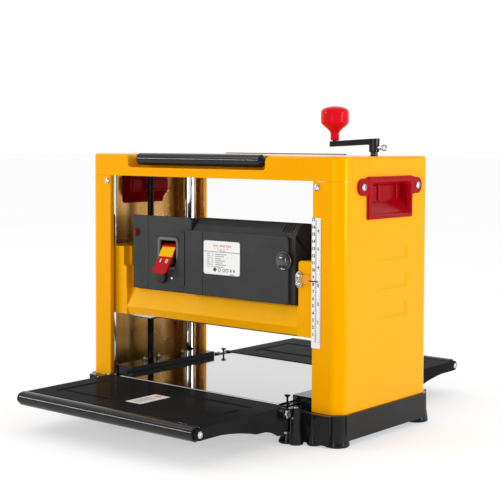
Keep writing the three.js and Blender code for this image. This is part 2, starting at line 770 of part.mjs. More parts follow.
// ---------------------------------------------------------------- extension tables
// The side skirt of the infeed table, deep at the hinge and shallow under the outer roller.
function skirtOutline() {
  const shape = new THREE.Shape();
  shape.moveTo(-TABLE.innerY, TABLE.top);
  shape.lineTo(-TABLE.rollerY, TABLE.top);
  shape.absarc(-TABLE.rollerY, TABLE_ROLLER.z, 8, Math.PI / 2, (3 * Math.PI) / 2, false);
  shape.lineTo(-278, 37.7);
  shape.quadraticCurveTo(-240, 34.5, -206, 25.3);
  shape.lineTo(-186, 24.5);
  shape.quadraticCurveTo(-171, 22, -158, 14);
  shape.lineTo(-150, 14);
  shape.lineTo(-141.5, 40);
  return shape;
}

function extensionTable() {
  const { halfX, innerY, outerY, top, sheet } = TABLE;
  const deck = box(-halfX, halfX, -outerY, -innerY, top - sheet, top);
  const skirts = [-1, 1].map((side) => {
    const [from, to] = side > 0 ? [halfX - 2.5, halfX] : [-halfX, -halfX + 2.5];
    return prism(skirtOutline(), "x", from, to);
  });
  const outerWall = box(-halfX, halfX, -outerY, -outerY + 2.5, 38.5, top);
  const whole = join(deck, ...skirts, outerWall);
  const rodHole = bar("x", [-HINGE.y, HINGE.z], HINGE.rod + GAP, -190, 190);
  const axleHole = bar("x", [-TABLE.rollerY, TABLE_ROLLER.z], 3 + GAP, -190, 190, 16);
  return cut(whole, rodHole, axleHole);
}
add("infeed_table", extensionTable(), TABLE_BLACK);
add("outfeed_table", mirrored(extensionTable(), "y"), TABLE_BLACK);

function hingeRod() {
  const centre = [-HINGE.y, HINGE.z];
  return join(
    bar("x", centre, HINGE.rod, -HINGE.lugTo - 2, HINGE.lugTo + 2, 16),
    bar("x", centre, 6, -HINGE.lugTo - 5, -HINGE.lugTo - GAP, 6),
    bar("x", centre, 6, HINGE.lugTo + GAP, HINGE.lugTo + 5, 6),
  );
}
add("infeed_hinge_rod", hingeRod(), STEEL);
add("outfeed_hinge_rod", mirrored(hingeRod(), "y"), STEEL);

function endRoller() {
  const centre = [-TABLE.rollerY, TABLE_ROLLER.z];
  const { radius, halfX } = TABLE_ROLLER;
  return cut(
    bar("x", centre, radius, -halfX, halfX, 24),
    bar("x", centre, 3 + GAP, -halfX - 1, halfX + 1, 16),
  );
}
add("infeed_end_roller", endRoller(), BLACK_CAST);
add("outfeed_end_roller", mirrored(endRoller(), "y"), BLACK_CAST);

function rollerAxle() {
  const centre = [-TABLE.rollerY, TABLE_ROLLER.z];
  const reach = TABLE.halfX + GAP;
  return join(
    bar("x", centre, 3, -reach - 1, reach + 1, 16),
    bar("x", centre, 4.6, -reach - 3.2, -reach, 16),
    bar("x", centre, 4.6, reach, reach + 3.2, 16),
  );
}
add("infeed_roller_axle", rollerAxle(), STEEL);
add("outfeed_roller_axle", mirrored(rollerAxle(), "y"), STEEL);

export default planer;
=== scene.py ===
"""The looks of a thickness planer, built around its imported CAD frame.

Places come from the frame's own boxes. The mesh helpers take millimetres and make metres.
"""

import json
from math import acos, cos, pi, radians, sin, sqrt, tau
from types import SimpleNamespace

import bmesh
import bpy
from mathutils import Matrix, Vector


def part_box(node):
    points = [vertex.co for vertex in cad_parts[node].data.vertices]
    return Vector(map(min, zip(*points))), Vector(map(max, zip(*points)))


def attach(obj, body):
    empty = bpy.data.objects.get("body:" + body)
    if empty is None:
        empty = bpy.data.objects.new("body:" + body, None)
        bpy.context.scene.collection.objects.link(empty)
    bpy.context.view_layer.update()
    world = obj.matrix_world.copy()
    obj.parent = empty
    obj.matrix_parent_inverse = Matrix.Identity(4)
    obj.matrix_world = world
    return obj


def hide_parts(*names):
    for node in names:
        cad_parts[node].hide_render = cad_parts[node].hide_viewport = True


MM = 0.001
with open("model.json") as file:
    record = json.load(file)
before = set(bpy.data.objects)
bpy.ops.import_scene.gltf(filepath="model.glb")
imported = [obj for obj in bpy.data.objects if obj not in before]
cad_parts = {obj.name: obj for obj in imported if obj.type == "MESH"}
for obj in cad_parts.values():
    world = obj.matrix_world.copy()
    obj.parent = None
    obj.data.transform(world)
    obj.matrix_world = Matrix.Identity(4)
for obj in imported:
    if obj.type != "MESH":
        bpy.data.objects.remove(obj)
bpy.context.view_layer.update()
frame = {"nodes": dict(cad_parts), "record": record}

BEHAVIOUR = frame["record"]["behaviour"]
BODY_OF = {node: body for body, nodes in BEHAVIOUR["bodies"].items() for node in nodes}
SLOT_OF = {part["node"]: part["material_slot"] for part in frame["record"]["subparts"]}


def edges(node):
    """A CAD node's box in millimetres: x0 to x1 and so on, middle cx, cy, cz, half size rx, ry, rz."""
    low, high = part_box(node)
    low, high = low / MM, high / MM
    middle = (low + high) / 2
    return SimpleNamespace(
        x0=low.x, x1=high.x, y0=low.y, y1=high.y, z0=low.z, z1=high.z,
        cx=middle.x, cy=middle.y, cz=middle.z,
        rx=(high.x - low.x) / 2, ry=(high.y - low.y) / 2, rz=(high.z - low.z) / 2,
    )


# ---------------------------------------------------------------- materials
def add_node(tree, kind, inputs, **settings):
    """A new node. Each input takes a constant, or is linked to another node's output."""
    made = tree.nodes.new(kind)
    for name, value in settings.items():
        setattr(made, name, value)
    for name, value in inputs.items():
        if isinstance(value, bpy.types.NodeSocket):
            tree.links.new(value, made.inputs[name])
        else:
            made.inputs[name].default_value = value
    return made


class Look:
    """A principled material whose colour, roughness and relief come from procedural noise."""

    def __init__(self, name):
        self.material = bpy.data.materials.new(name)
        self.material.use_nodes = True
        self.tree = self.material.node_tree
        self.sockets = self.tree.nodes["Principled BSDF"].inputs
        self.place = self.tree.nodes.new("ShaderNodeTexCoord").outputs["Object"]
        self.normal = None

    def base(self, colour, specular=0.5, tinge=(1, 1, 1), metallic=0.0):
        """The plain colour; the tinge is the colour of what the surface reflects."""
        self.colour = colour
        self.sockets["Base Color"].default_value = (*colour, 1.0)
        self.sockets["Specular IOR Level"].default_value = specular
        self.sockets["Specular Tint"].default_value = (*tinge, 1.0)
        self.sockets["Metallic"].default_value = metallic
        return self

    def noise(self, scale, detail, stretch):
        """Noise over the piece's own coordinates; stretch above 1 squeezes it along that axis."""
        mapping = add_node(self.tree, "ShaderNodeMapping", {"Vector": self.place, "Scale": stretch})
        texture = add_node(self.tree, "ShaderNodeTexNoise", {
            "Vector": mapping.outputs["Vector"], "Scale": scale, "Detail": detail,
        })
        return texture.outputs["Fac"]

    def ramp(self, value, low, high):
        """Spreads the middle of a noise over the range from low to high."""
        spread = add_node(self.tree, "ShaderNodeMapRange", {
            "Value": value, "From Min": 0.35, "From Max": 0.65, "To Min": low, "To Max": high,
        })
        return spread.outputs["Result"]

    def tint(self, other, scale, stretch=(1, 1, 1)):
        """Mixes the base colour with another in soft patches."""
        mix = add_node(self.tree, "ShaderNodeMix", {
            "A": (*self.colour, 1.0),
            "B": (*other, 1.0),
            "Factor": self.ramp(self.noise(scale, 4.0, stretch), 0.0, 1.0),
        }, data_type="RGBA")
        self.tree.links.new(mix.outputs["Result"], self.sockets["Base Color"])
        return self

    def gloss(self, scale, low, high, stretch=(1, 1, 1)):
        """Lets the roughness drift between two values."""
        drift = self.ramp(self.noise(scale, 3.0, stretch), low, high)
        self.tree.links.new(drift, self.sockets["Roughness"])
        return self

    def relief(self, scale, depth_mm, strength, stretch=(1, 1, 1), detail=2.0):
        """Fine bumps of about that depth; calls add up, coarse to fine."""
        inputs = {
            "Distance": depth_mm * MM,
            "Strength": strength,
            "Height": self.noise(scale, detail, stretch),
        }
        if self.normal:
            inputs["Normal"] = self.normal
        self.normal = add_node(self.tree, "ShaderNodeBump", inputs).outputs["Normal"]
        self.tree.links.new(self.normal, self.sockets["Normal"])
        return self


YELLOW_TINGE = (1.0, 0.8, 0.03)
RED_TINGE = (1.0, 0.08, 0.08)


def yellow_paint(look):
    look.base((0.92, 0.385, 0.0), specular=0.22, tinge=YELLOW_TINGE)
    look.tint((0.90, 0.37, 0.0), 6).gloss(9, 0.16, 0.22).relief(700, 0.02, 0.6)


def yellow_casting(look):
    look.base((0.94, 0.425, 0.0), specular=0.2, tinge=YELLOW_TINGE)
    look.tint((0.91, 0.40, 0.0), 14).gloss(20, 0.2, 0.32).relief(60, 0.25, 0.5).relief(420, 0.05, 0.7)


def black_casting(look):
    look.base((0.006, 0.006, 0.0063), specular=0.22)
    look.tint((0.011, 0.011, 0.0115), 30).gloss(35, 0.1, 0.17)
    look.relief(80, 0.12, 0.4).relief(500, 0.03, 0.5)


def black_sheet(look):
    look.base((0.014, 0.014, 0.0142), specular=0.001)
    look.tint((0.020, 0.020, 0.0203), 9).gloss(12, 0.08, 0.16).relief(600, 0.02, 0.5)


def black_steel(look):
    look.base((0.006, 0.006, 0.0063), specular=0.3)
    look.tint((0.009, 0.009, 0.0095), 40).gloss(50, 0.1, 0.17).relief(500, 0.012, 0.5)


def dark_plastic(look):
    look.base((0.036, 0.036, 0.037), specular=0.2)
    look.tint((0.041, 0.041, 0.042), 25).gloss(60, 0.44, 0.56).relief(1400, 0.05, 0.5, detail=1.0)


def red_plastic(look):
    look.base((0.34, 0.002, 0.006), specular=0.15, tinge=RED_TINGE)
    look.tint((0.32, 0.002, 0.006), 18).gloss(30, 0.12, 0.2).relief(350, 0.012, 0.5)


# The handles' red plastic made about twice as light: painted light for the knob, which catches the light
# from above.
def painted_lit_red_plastic(look):
    look.base((0.72, 0.009, 0.018), specular=0.3, tinge=RED_TINGE)
    look.tint((0.68, 0.008, 0.015), 18).gloss(30, 0.12, 0.2).relief(350, 0.012, 0.5)


def amber_plastic(look):
    look.base((0.86, 0.33, 0.006), specular=0.3)
    look.tint((0.80, 0.29, 0.005), 60).gloss(80, 0.12, 0.2)


def gloss_plastic(look):
    look.base((0.03, 0.03, 0.031), specular=0.8)
    look.tint((0.036, 0.036, 0.037), 40).gloss(60, 0.12, 0.18).relief(900, 0.02, 0.4)


# A pale grey plastic that stands for light: painted highlights on the switch bezel and on the front
# panel's edges.
def painted_highlight_plastic(look):
    look.base((0.12, 0.12, 0.122), specular=0.5)
    look.tint((0.14, 0.14, 0.142), 40).gloss(60, 0.18, 0.28).relief(900, 0.02, 0.4)


# Painted shade for the insides of the columns: a darker, browner metallic coat whose vertical streaks
# are painted reflections.
def inner_coat(look):
    look.base((0.86, 0.50, 0.17), metallic=0.7)
    look.tint((0.62, 0.29, 0.05), 45, (1, 1, 0.03)).gloss(15, 0.22, 0.36)
    look.relief(40, 0.02, 0.3, (1, 1, 0.1))


def chrome(look):
    look.base((0.83, 0.84, 0.86), metallic=1.0)
    look.tint((0.78, 0.79, 0.81), 30, (1, 1, 0.1)).gloss(200, 0.04, 0.09, (1, 1, 20))


def bright_steel(look):
    look.base((0.50, 0.50, 0.50), metallic=1.0)
    look.tint((0.46, 0.46, 0.46), 5).gloss(40, 0.05, 0.1, (1, 12, 1)).relief(90, 0.01, 0.2, (1, 14, 1))


def ground_steel(look):
    look.base((0.60, 0.61, 0.62), metallic=1.0)
    look.tint((0.50, 0.51, 0.52), 30).gloss(300, 0.2, 0.36, (30, 1, 1))
    look.relief(300, 0.02, 0.4, (20, 1, 1))


def screw_steel(look):
    look.base((0.70, 0.71, 0.72), metallic=1.0)
    look.tint((0.56, 0.57, 0.57), 160).gloss(200, 0.18, 0.34).relief(900, 0.02, 0.4)


def oiled_steel(look):
    look.base((0.05, 0.05, 0.053), metallic=0.75)
    look.tint((0.032, 0.031, 0.03), 60).gloss(90, 0.24, 0.45).relief(400, 0.03, 0.5)


def white_plate(look):
    look.base((0.90, 0.90, 0.89))
    look.tint((0.86, 0.86, 0.85), 30).gloss(50, 0.3, 0.42)


def brass(look):
    look.base((0.62, 0.41, 0.14), metallic=1.0)
    look.tint((0.50, 0.32, 0.10), 80).gloss(200, 0.24, 0.4, (1, 1, 12))


def feed_rubber(look):
    look.base((0.16, 0.165, 0.165), specular=0.3)
    look.tint((0.12, 0.122, 0.122), 50).gloss(60, 0.6, 0.82).relief(700, 0.08, 0.7)


def black_rubber(look):
    look.base((0.013, 0.013, 0.013), specular=0.35)
    look.tint((0.02, 0.02, 0.02), 70).gloss(70, 0.52, 0.72).relief(900, 0.05, 0.6)


def switch_plastic(look):
    look.base((0.50, 0.004, 0.006), specular=0.2, tinge=RED_TINGE)
    look.tint((0.46, 0.003, 0.005), 40).gloss(60, 0.25, 0.36)


def switch_yellow(look):
    look.base((0.92, 0.50, 0.0), specular=0.2, tinge=YELLOW_TINGE)
    look.tint((0.9, 0.46, 0.0), 60).gloss(60, 0.25, 0.36)


def ink(look):
    look.base((0.03, 0.03, 0.035))
    look.tint((0.05, 0.05, 0.055), 300).gloss(200, 0.4, 0.6)


def pale_ink(look):
    look.base((0.20, 0.195, 0.195))
    look.tint((0.26, 0.25, 0.25), 300).gloss(200, 0.4, 0.6)


def red_ink(look):
    look.base((0.74, 0.34, 0.22))
    look.tint((0.78, 0.40, 0.28), 300).gloss(200, 0.4, 0.55)


def white_ink(look):
    look.base((0.78, 0.78, 0.78))
    look.tint((0.72, 0.72, 0.72), 300).gloss(200, 0.35, 0.5)


def floor_paint(look):
    look.base((0.55, 0.55, 0.55), specular=0.1).tint((0.57, 0.57, 0.57), 2)
    look.sockets["Roughness"].default_value = 0.9
    look.sockets["Emission Color"].default_value = (1.0, 1.0, 1.0, 1.0)
    look.sockets["Emission Strength"].default_value = 0.5


def material_of(maker):
    look = Look(maker.__name__)
    maker(look)
    return look.material


LOOKS = {maker.__name__: material_of(maker) for maker in (
    yellow_paint, yellow_casting, black_casting, black_sheet, black_steel, dark_plastic,
    red_plastic, painted_lit_red_plastic, amber_plastic, gloss_plastic, painted_highlight_plastic, inner_coat, chrome,
    bright_steel, ground_steel, screw_steel, oiled_steel, white_plate, brass, feed_rubber,
    black_rubber, switch_plastic, switch_yellow, ink, pale_ink, red_ink, white_ink, floor_paint,
)}


# ---------------------------------------------------------------- mesh helpers
SHARP_ANGLE = 28  # in degrees; the shading breaks at edges sharper than this
FLAT_ANGLE = 0.6  # in degrees; faces that meet at less than this are made one before rounding

AXES = {  # from places across an axis, and the place along it, to x, y, z
    "x": lambda u, v, w: (w, u, v),
    "y": lambda u, v, w: (u, w, v),
    "z": lambda u, v, w: (u, v, w),
}


def add_object(name, data):
    made = bpy.data.objects.new(name, data)
    bpy.context.scene.collection.objects.link(made)
    return made


def new_object(name, verts, faces):
    """A mesh from millimetre points, with its faces turned outwards."""
    mesh = bpy.data.meshes.new(name)
    mesh.from_pydata([Vector(vert) * MM for vert in verts], [], faces)
    work = bmesh.new()
    work.from_mesh(mesh)
    bmesh.ops.remove_doubles(work, verts=work.verts, dist=1e-7)
    bmesh.ops.recalc_face_normals(work, faces=work.faces)
    work.to_mesh(mesh)
    work.free()
    return add_object(name, mesh)


def stack(name, loops, axis, closed=False):
    """Skins loops of equal length: each is (outline, place along the axis) or 3-D points."""
    rings = []
    for loop in loops:
        if isinstance(loop, tuple):
            outline, along = loop
            rings.append([AXES[axis](u, v, along) for u, v in outline])
        else:
            rings.append(loop)
    count = len(rings[0])
    verts = [vert for ring in rings for vert in ring]
    pairs = [(i, i + 1) for i in range(len(rings) - 1)]
    if closed:
        pairs.append((len(rings) - 1, 0))
    faces = []
    for a, b in pairs:
        for i in range(count):
            j = (i + 1) % count
            faces.append((a * count + i, a * count + j, b * count + j, b * count + i))
    if not closed:
        faces.append(tuple(reversed(range(count))))
        faces.append(tuple(range(len(verts) - count, len(verts))))
    return new_object(name, verts, faces)


def prism(name, outline, axis, start, end):
    """A plane outline pushed along an axis: (y, z) for x, (x, z) for y, (x, y) for z."""
    return stack(name, [(outline, start), (outline, end)], axis)


def block(name, x0, x1, y0, y1, z0, z1):
    return prism(name, [(x0, y0), (x1, y0), (x1, y1), (x0, y1)], "z", z0, z1)


def circle(centre, radius, sides=48):
    return [
        (centre[0] + radius * cos(tau * i / sides), centre[1] + radius * sin(tau * i / sides))
        for i in range(sides)
    ]


def turned(name, axis, centre, profile, sides=64, closed=False):
    """A piece turned about a line along an axis, from (radius, place along) pairs."""
    return stack(name, [(circle(centre, r, sides), w) for r, w in profile], axis, closed)


def rod(name, axis, centre, radius, start, end, chamfer=0.6, sides=48):
    return turned(name, axis, centre, [
        (radius - chamfer, start),
        (radius, start + chamfer),
        (radius, end - chamfer),
        (radius - chamfer, end),
    ], sides)


def hole(axis, centre, radius, start, end, sides=48):
    """A plain rod, to be cut out of a piece."""
    return rod("hole", axis, centre, radius, start, end, 0.1, sides)


def rounded(points, radii, steps=6):
    """An outline with its corners rounded: one radius for all of them, or one for each."""
    if not hasattr(radii, "__len__"):
        radii = [radii] * len(points)
    made = []
    for i, radius in enumerate(radii):
        here = Vector(points[i])
        if radius <= 0:
            made.append(tuple(here))
            continue
        back = (Vector(points[i - 1]) - here).normalized()
        ahead = (Vector(points[(i + 1) % len(points)]) - here).normalized()
        half = acos(max(-1.0, min(1.0, back.dot(ahead)))) / 2
        centre = here + (back + ahead).normalized() * (radius / sin(half))
        reach = radius / max(1e-6, sin(half)) * cos(half)
        first, last = here + back * reach - centre, here + ahead * reach - centre
        turn = first.angle_signed(last)
        for k in range(steps + 1):
            arm = first.copy()
            arm.rotate(Matrix.Rotation(-turn * k / steps, 2))
            made.append(tuple(centre + arm))
    return made


def panel(x0, x1, y0, y1, radius, steps=6):
    """A rounded rectangle as an outline."""
    corners = [(x0, y0), (x1, y0), (x1, y1), (x0, y1)]
    return rounded(corners, radius, steps)


def terraces(x0, x1, y0, y1, rows):
    """Loops for stack round one rectangle: how far each is set in, its radius and its place."""
    return [
        (panel(x0 + inset, x1 - inset, y0 + inset, y1 - inset, radius), along)
        for inset, radius, along in rows
    ]


def bake(piece):
    """Applies the piece's modifiers to its mesh."""
    graph = bpy.context.evaluated_depsgraph_get()
    made = bpy.data.meshes.new_from_object(piece.evaluated_get(graph))
    piece.modifiers.clear()
    piece.data = made
    return piece


def combine(body, operation, *tools):
    """Joins tools to the body (UNION) or cuts them out of it (DIFFERENCE), one after another."""
    for tool in tools:
        step = body.modifiers.new("combine", "BOOLEAN")
        step.operation = operation
        step.solver = "EXACT"
        step.object = tool
        bake(body)
        bpy.data.objects.remove(tool)
    return body


def join(body, *tools):
    return combine(body, "UNION", *tools)


def cut(body, *tools):
    return combine(body, "DIFFERENCE", *tools)


def merge(name, pieces):
    """Several separate solids as one object, such as a row of screws."""
    work = bmesh.new()
    for piece in pieces:
        work.from_mesh(piece.data)
    mesh = bpy.data.meshes.new(name)
    work.to_mesh(mesh)
    work.free()
    for piece in pieces:
        bpy.data.objects.remove(piece)
    return add_object(name, mesh)


def soften(piece, width, segments=2, angle=32):
    """Rounds the edges that are sharper than the angle."""
    work = bmesh.new()
    work.from_mesh(piece.data)
    bmesh.ops.remove_doubles(work, verts=work.verts, dist=2e-6)
    flat = radians(FLAT_ANGLE)
    bmesh.ops.dissolve_limit(work, angle_limit=flat, verts=work.verts, edges=work.edges)
    bmesh.ops.recalc_face_normals(work, faces=work.faces)
    work.to_mesh(piece.data)
    work.free()
    step = piece.modifiers.new("soften", "BEVEL")
    step.width = width * MM
    step.segments = segments
    step.limit_method = "ANGLE"
    step.angle_limit = radians(angle)
    step.miter_outer = "MITER_ARC"
    return bake(piece)


def from_node(name, node):
    """A new piece with a CAD node's shape, ready for rounding."""
    mesh = frame["nodes"][node].data.copy()
    mesh.materials.clear()
    for attribute in ("UVMap", "sharp_edge", "sharp_face", "custom_normal"):
        if attribute in mesh.attributes:
            mesh.attributes.remove(mesh.attributes[attribute])
    return add_object(name, mesh)


def mirrored(name, piece, axis):
    """A copy on the other side of the machine's middle plane across that axis."""
    mesh = piece.data.copy()
    flip = Matrix.Diagonal([-1.0 if letter == axis else 1.0 for letter in "xyz"] + [1.0])
    mesh.transform(flip)
    mesh.flip_normals()
    return add_object(name, mesh)


def place(piece, node, look=None, hides=()):
    """Gives the piece its material and body: those of the node that it belongs to."""
    mesh = piece.data
    mesh.materials.clear()
    mesh.materials.append(LOOKS[look or SLOT_OF[node]])
    mesh.shade_smooth()
    mesh.set_sharp_from_angle(angle=radians(SHARP_ANGLE))
    step = piece.modifiers.new("even_shading", "WEIGHTED_NORMAL")
    step.keep_sharp = True
    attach(piece, BODY_OF[node])
    if hides:
        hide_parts(*hides)
    return piece


def stand_for(piece, node, look=None):
    return place(piece, node, look, hides=(node,))


# ---------------------------------------------------------------- fasteners
def screw_head(axis, centre, face, out, radius, height):
    """A domed head with a cross recess, standing on a face; out is the way it points, 1 or -1."""
    dome = [(0.96, 0.0), (1.0, 0.2), (0.94, 0.5), (0.78, 0.78), (0.5, 0.94), (0.08, 1.0)]
    profile = [(radius * r, face + out * height * h) for r, h in dome]
    head = turned("head", axis, centre, profile, 32)
    top = face + out * height
    start, end = sorted((top - out * height * 0.5, top + out))
    arm, half = radius * 0.55, radius * 0.12
    u, v = centre
    slots = []
    for du, dv in ((arm, half), (half, arm)):
        outline = [(u - du, v - dv), (u + du, v - dv), (u + du, v + dv), (u - du, v + dv)]
        slots.append(prism("slot", outline, axis, start, end))
    return cut(head, *slots)


def hex_head(axis, centre, face, out, radius, height):
    """A hexagon head or nut with its outer corners taken off."""
    return stack("hex", [
        (circle(centre, radius * 0.95, 6), face),
        (circle(centre, radius, 6), face + out * height * 0.12),
        (circle(centre, radius, 6), face + out * height * 0.8),
        (circle(centre, radius * 0.86, 6), face + out * height),
    ], axis)


# ---------------------------------------------------------------- base and bed
PAST_SIDES = 260  # a cut that runs this far to both sides goes through the whole machine
PAST_LUGS = 190  # and one that runs this far goes through the hinge lugs
FLOOR_GAP = 8  # the sills stand clear of the floor between the feet
SILL_TOP = 44.5
BED_TOP = 51.5
BOSSES = (  # x, y, radius and height
    (236, 103, 17, SILL_TOP),
    (209, 119, 9, SILL_TOP),
    (187, 132, 9.5, BED_TOP),
    (172, 131, 12, 13),
)
PIVOT_BORE = 3.8  # radius of the holes for the tables' hinge rods


def base_quarter():
    """The right front quarter of the casting, past the middle so that its copies join up."""
    base = edges("base_casting")
    bed = block("bed", -4, 170, -134, 4, 34, BED_TOP)
    sill = block("sill", 164, base.x1, -103, 4, FLOOR_GAP, SILL_TOP)
    web = block("web", 170, 240, -126, -96, 3, SILL_TOP)
    rail = block("rail", 161, 199, -106, 4, 40.5, base.z1)
    front = block("front", -4, 174, -134, -121, 14, 36)
    lug = prism("lug", rounded([
        (-116, 38), (-160.5, 38), (-160.5, 53.5), (-150, 53.5), (-144, 51), (-116, 51),
    ], [0, 7.4, 7.4, 3, 3, 0], 5), "x", 177, 186)
    bosses = [
        turned("boss", "z", (x, -y), [
            (radius + 0.4, 0), (radius + 1.5, 1.4), (radius + 1.4, 3.4),
            (radius - 1, 3.4 + height * 0.35), (radius - 1.4, height),
        ], 40)
        for x, y, radius, height in BOSSES
    ]
    return join(bed, sill, web, rail, front, lug, *bosses)


def base_casting():
    quarter = base_quarter()
    others = [mirrored("other", quarter, "x"), mirrored("rear", quarter, "y")]
    others.append(mirrored("far", others[0], "y"))
    body = join(quarter, *others)
    body.name = "cast_base"
    pivot = edges("infeed_hinge_rod")
    holes = [
        hole("x", (side * pivot.cy, pivot.cz), PIVOT_BORE, -PAST_LUGS, PAST_LUGS)
        for side in (-1, 1)
    ]
    rear_rail_end = block("room", -PAST_SIDES, PAST_SIDES, 90, 130, SILL_TOP + 0.1, 70)
    keep = block("keep", -200, 200, 122, 150, 30, BED_TOP)
    bed_keep = block("bed_keep", -170, 170, 80, 134, 40, BED_TOP)
    cut(body, cut(rear_rail_end, keep, bed_keep), *holes)
    stand_for(soften(body, 1.1, 2), "base_casting")


def bed_sheet():
    """The polished steel sheet over the bed, folded down at the front and the rear."""
    sheet = edges("table_plate")
    thick = 1.6
    outline = rounded([
        (sheet.y0, sheet.z0), (sheet.y0, sheet.z1), (sheet.y1, sheet.z1), (sheet.y1, sheet.z0),
        (sheet.y1 - thick, sheet.z0), (sheet.y1 - thick, sheet.z1 - thick),
        (sheet.y0 + thick, sheet.z1 - thick), (sheet.y0 + thick, sheet.z0),
    ], [0.3, 1.8, 1.8, 0.3, 0.3, 0.4, 0.4, 0.3], 4)
    stand_for(prism("bed_sheet", outline, "x", sheet.x0, sheet.x1), "table_plate")


def bed_fasteners():
    base = edges("base_casting")
    sheet = edges("table_plate")
    profile = [(3.6, -3), (3.6, -0.4), (1.5, 0), (1.5, 7), (4.2, 9), (4.4, 10.2), (3.6, 11), (0.4, 11.2)]
    pin = [(radius, sheet.z1 + z) for radius, z in profile]
    stops = [turned("stop", "z", spot, pin, 24) for spot in ((161.5, -119), (-161.5, 115))]
    place(merge("bed_stop_pins", stops), "base_casting", "black_steel")
    nuts = []
    for side in (-1, 1):
        for y in (-50, -17, 40):
            nuts.append(hex_head("z", (side * 190, y), base.z1 - 0.3, 1, 4.6, 3.8))
            nuts.append(rod("end", "z", (side * 190, y), 2.3, base.z1, base.z1 + 6, 0.4, 16))
        for end in (-1, 1):
            nuts.append(hex_head("z", (side * 174, end * 135), 12.8, 1, 4.8, 4))
            nuts.append(hex_head("x", (end * 137.5, 38), side * 185.8, side, 3.6, 2.4))
    place(merge("base_nuts", nuts), "base_casting", "screw_steel")
    caps = [
        screw_head("z", (x, y), BED_TOP - 0.3, 1, 3.6, 2)
        for x in (-187, 187)
        for y in (-132, 132)
    ]
    place(merge("boss_screws", caps), "base_casting", "screw_steel")


# ---------------------------------------------------------------- posts, screws and top bridge
def posts():
    for across in ("left", "right"):
        for along in ("front", "rear"):
            node = f"post_{along}_{across}"
            post = edges(node)
            name = f"guide_post_{along}_{across}"
            stand_for(rod(name, "z", (post.cx, post.cy), post.rx, post.z0, post.z1, 1.5, 96), node)


THREAD_PITCH = 2
THREAD_DEPTH = 0.55
THREAD_SIDES = 24
PLAIN_END = 8  # length without a thread at both ends
SCREW_BORE = 5.8  # radius of the holes that take the height screws


def threaded(name, centre, radius, low, high):
    """A rod with a right-hand thread, plain for a little way at both ends."""
    steps = 4
    rows = int((high - low) / THREAD_PITCH * steps)
    loops = []
    for row in range(rows + 1):
        z = low + (high - low) * row / rows
        depth = THREAD_DEPTH if low + PLAIN_END <= z <= high - PLAIN_END else 0.0
        ring = []
        for side in range(THREAD_SIDES):
            angle = tau * side / THREAD_SIDES
            phase = ((z - low) / THREAD_PITCH - angle / tau) % 1.0
            r = radius - depth * max(0.0, 1.0 - 2.6 * abs(phase - 0.5))
            ring.append((centre[0] + r * cos(angle), centre[1] + r * sin(angle)))
        loops.append((ring, z))
    return stack(name, loops, "z")


def sprocket(name, node):
    """A chain wheel with rounded teeth, bored for its screw."""
    wheel = edges(node)
    teeth = 14
    outline = []
    steps = teeth * 8
    for i in range(steps):
        angle = tau * i / steps
        r = wheel.rx - 2.6 * (0.5 - 0.5 * cos(teeth * angle)) ** 0.8
        outline.append((wheel.cx + r * cos(angle), wheel.cy + r * sin(angle)))
    disc = prism(name, outline, "z", wheel.z0 + 1.2, wheel.z1 - 1.2)
    hub = rod("hub", "z", (wheel.cx, wheel.cy), 9, wheel.z0, wheel.z1, 0.4)
    bore = hole("z", (wheel.cx, wheel.cy), SCREW_BORE, wheel.z0 - 2, wheel.z1 + 2)
    return soften(cut(join(disc, hub), bore), 0.25, 1)


CHAIN_PITCH = 8  # about; a whole number of links goes round
LINK_RADIUS = 1.6
LINK_SHEET = 0.6


def height_chain():
    """A roller chain round both chain wheels: plates outside, rollers between them."""
    chain = edges("height_chain")
    wheel = edges("right_sprocket")
    radius = wheel.rx + 2.9
    straight = 2 * wheel.cx
    links = round((straight + pi * radius) / CHAIN_PITCH)
    step = (straight + pi * radius) / links

    def pin_place(i):
        """Along the front, then round the right wheel; the other half is that turned round."""
        side = 1 if i // links % 2 == 0 else -1
        s = i % links * step
        if s < straight:
            return Vector((s - wheel.cx, -radius)) * side
        a = (s - straight) / radius - pi / 2
        return Vector((wheel.cx + radius * cos(a), radius * sin(a))) * side

    pieces = []
    for i in range(2 * links):
        here, ahead = pin_place(i), pin_place(i + 1)
        along = (ahead - here).normalized()
        across = Vector((-along.y, along.x))
        lift = 0.35 if i % 2 else 1.15
        plate = []
        for k in range(12):
            a = tau * (k + 0.5) / 12
            end = ahead if cos(a) > 0 else here
            reach = along * (LINK_RADIUS * cos(a)) + across * (LINK_RADIUS * sin(a))
            plate.append(tuple(end + reach))
        for z in (chain.z0 + lift, chain.z1 - lift - LINK_SHEET):
            pieces.append(prism("plate", plate, "z", z, z + LINK_SHEET))
        pieces.append(prism("pin", circle(here, 1.1, 10), "z", chain.z0 + 0.2, chain.z1 - 0.2))
    stand_for(merge("roller_chain", pieces), "height_chain")


def height_drive():
    for side in ("left", "right"):
        node = f"{side}_lead_screw"
        screw = edges(node)
        thread = threaded(f"{side}_threaded_rod", (screw.cx, screw.cy), screw.rx, screw.z0, screw.z1)
        stand_for(thread, node)
        wheel = f"{side}_sprocket"
        stand_for(sprocket(f"{side}_chain_wheel", wheel), wheel)
        nut = edges(f"{side}_lead_nut")
        flange_top = nut.z0 + 4.7
        body = turned(f"{side}_bronze_nut", "z", (nut.cx, nut.cy), [
            (5.9, nut.z0), (13.4, nut.z0), (14, nut.z0 + 0.6), (14, flange_top - 0.6),
            (13.4, flange_top), (9, flange_top), (9, nut.z1 - 0.6), (8.4, nut.z1), (5.9, nut.z1),
        ], 48, closed=True)
        stand_for(body, f"{side}_lead_nut")
    height_chain()
    bridge = soften(from_node("bridge_plate", "top_bridge"), 0.6, 2)
    stand_for(bridge, "top_bridge")


# ---------------------------------------------------------------- covers
SHEET = 2  # thickness of the covers
BEVEL = 13  # how much of each upright corner the covers leave out
FOLD = 2.5  # how far the narrow flat in each bend reaches to either side
FOLD_RADIUS = 2.5  # of each of the two folds in a bend
LIP = 7.7  # depth of the lip along a cover's inner edges
LOUVRES = (178.5, 220.5, 262.5)  # heights of the shallow louvres on the covers' sides


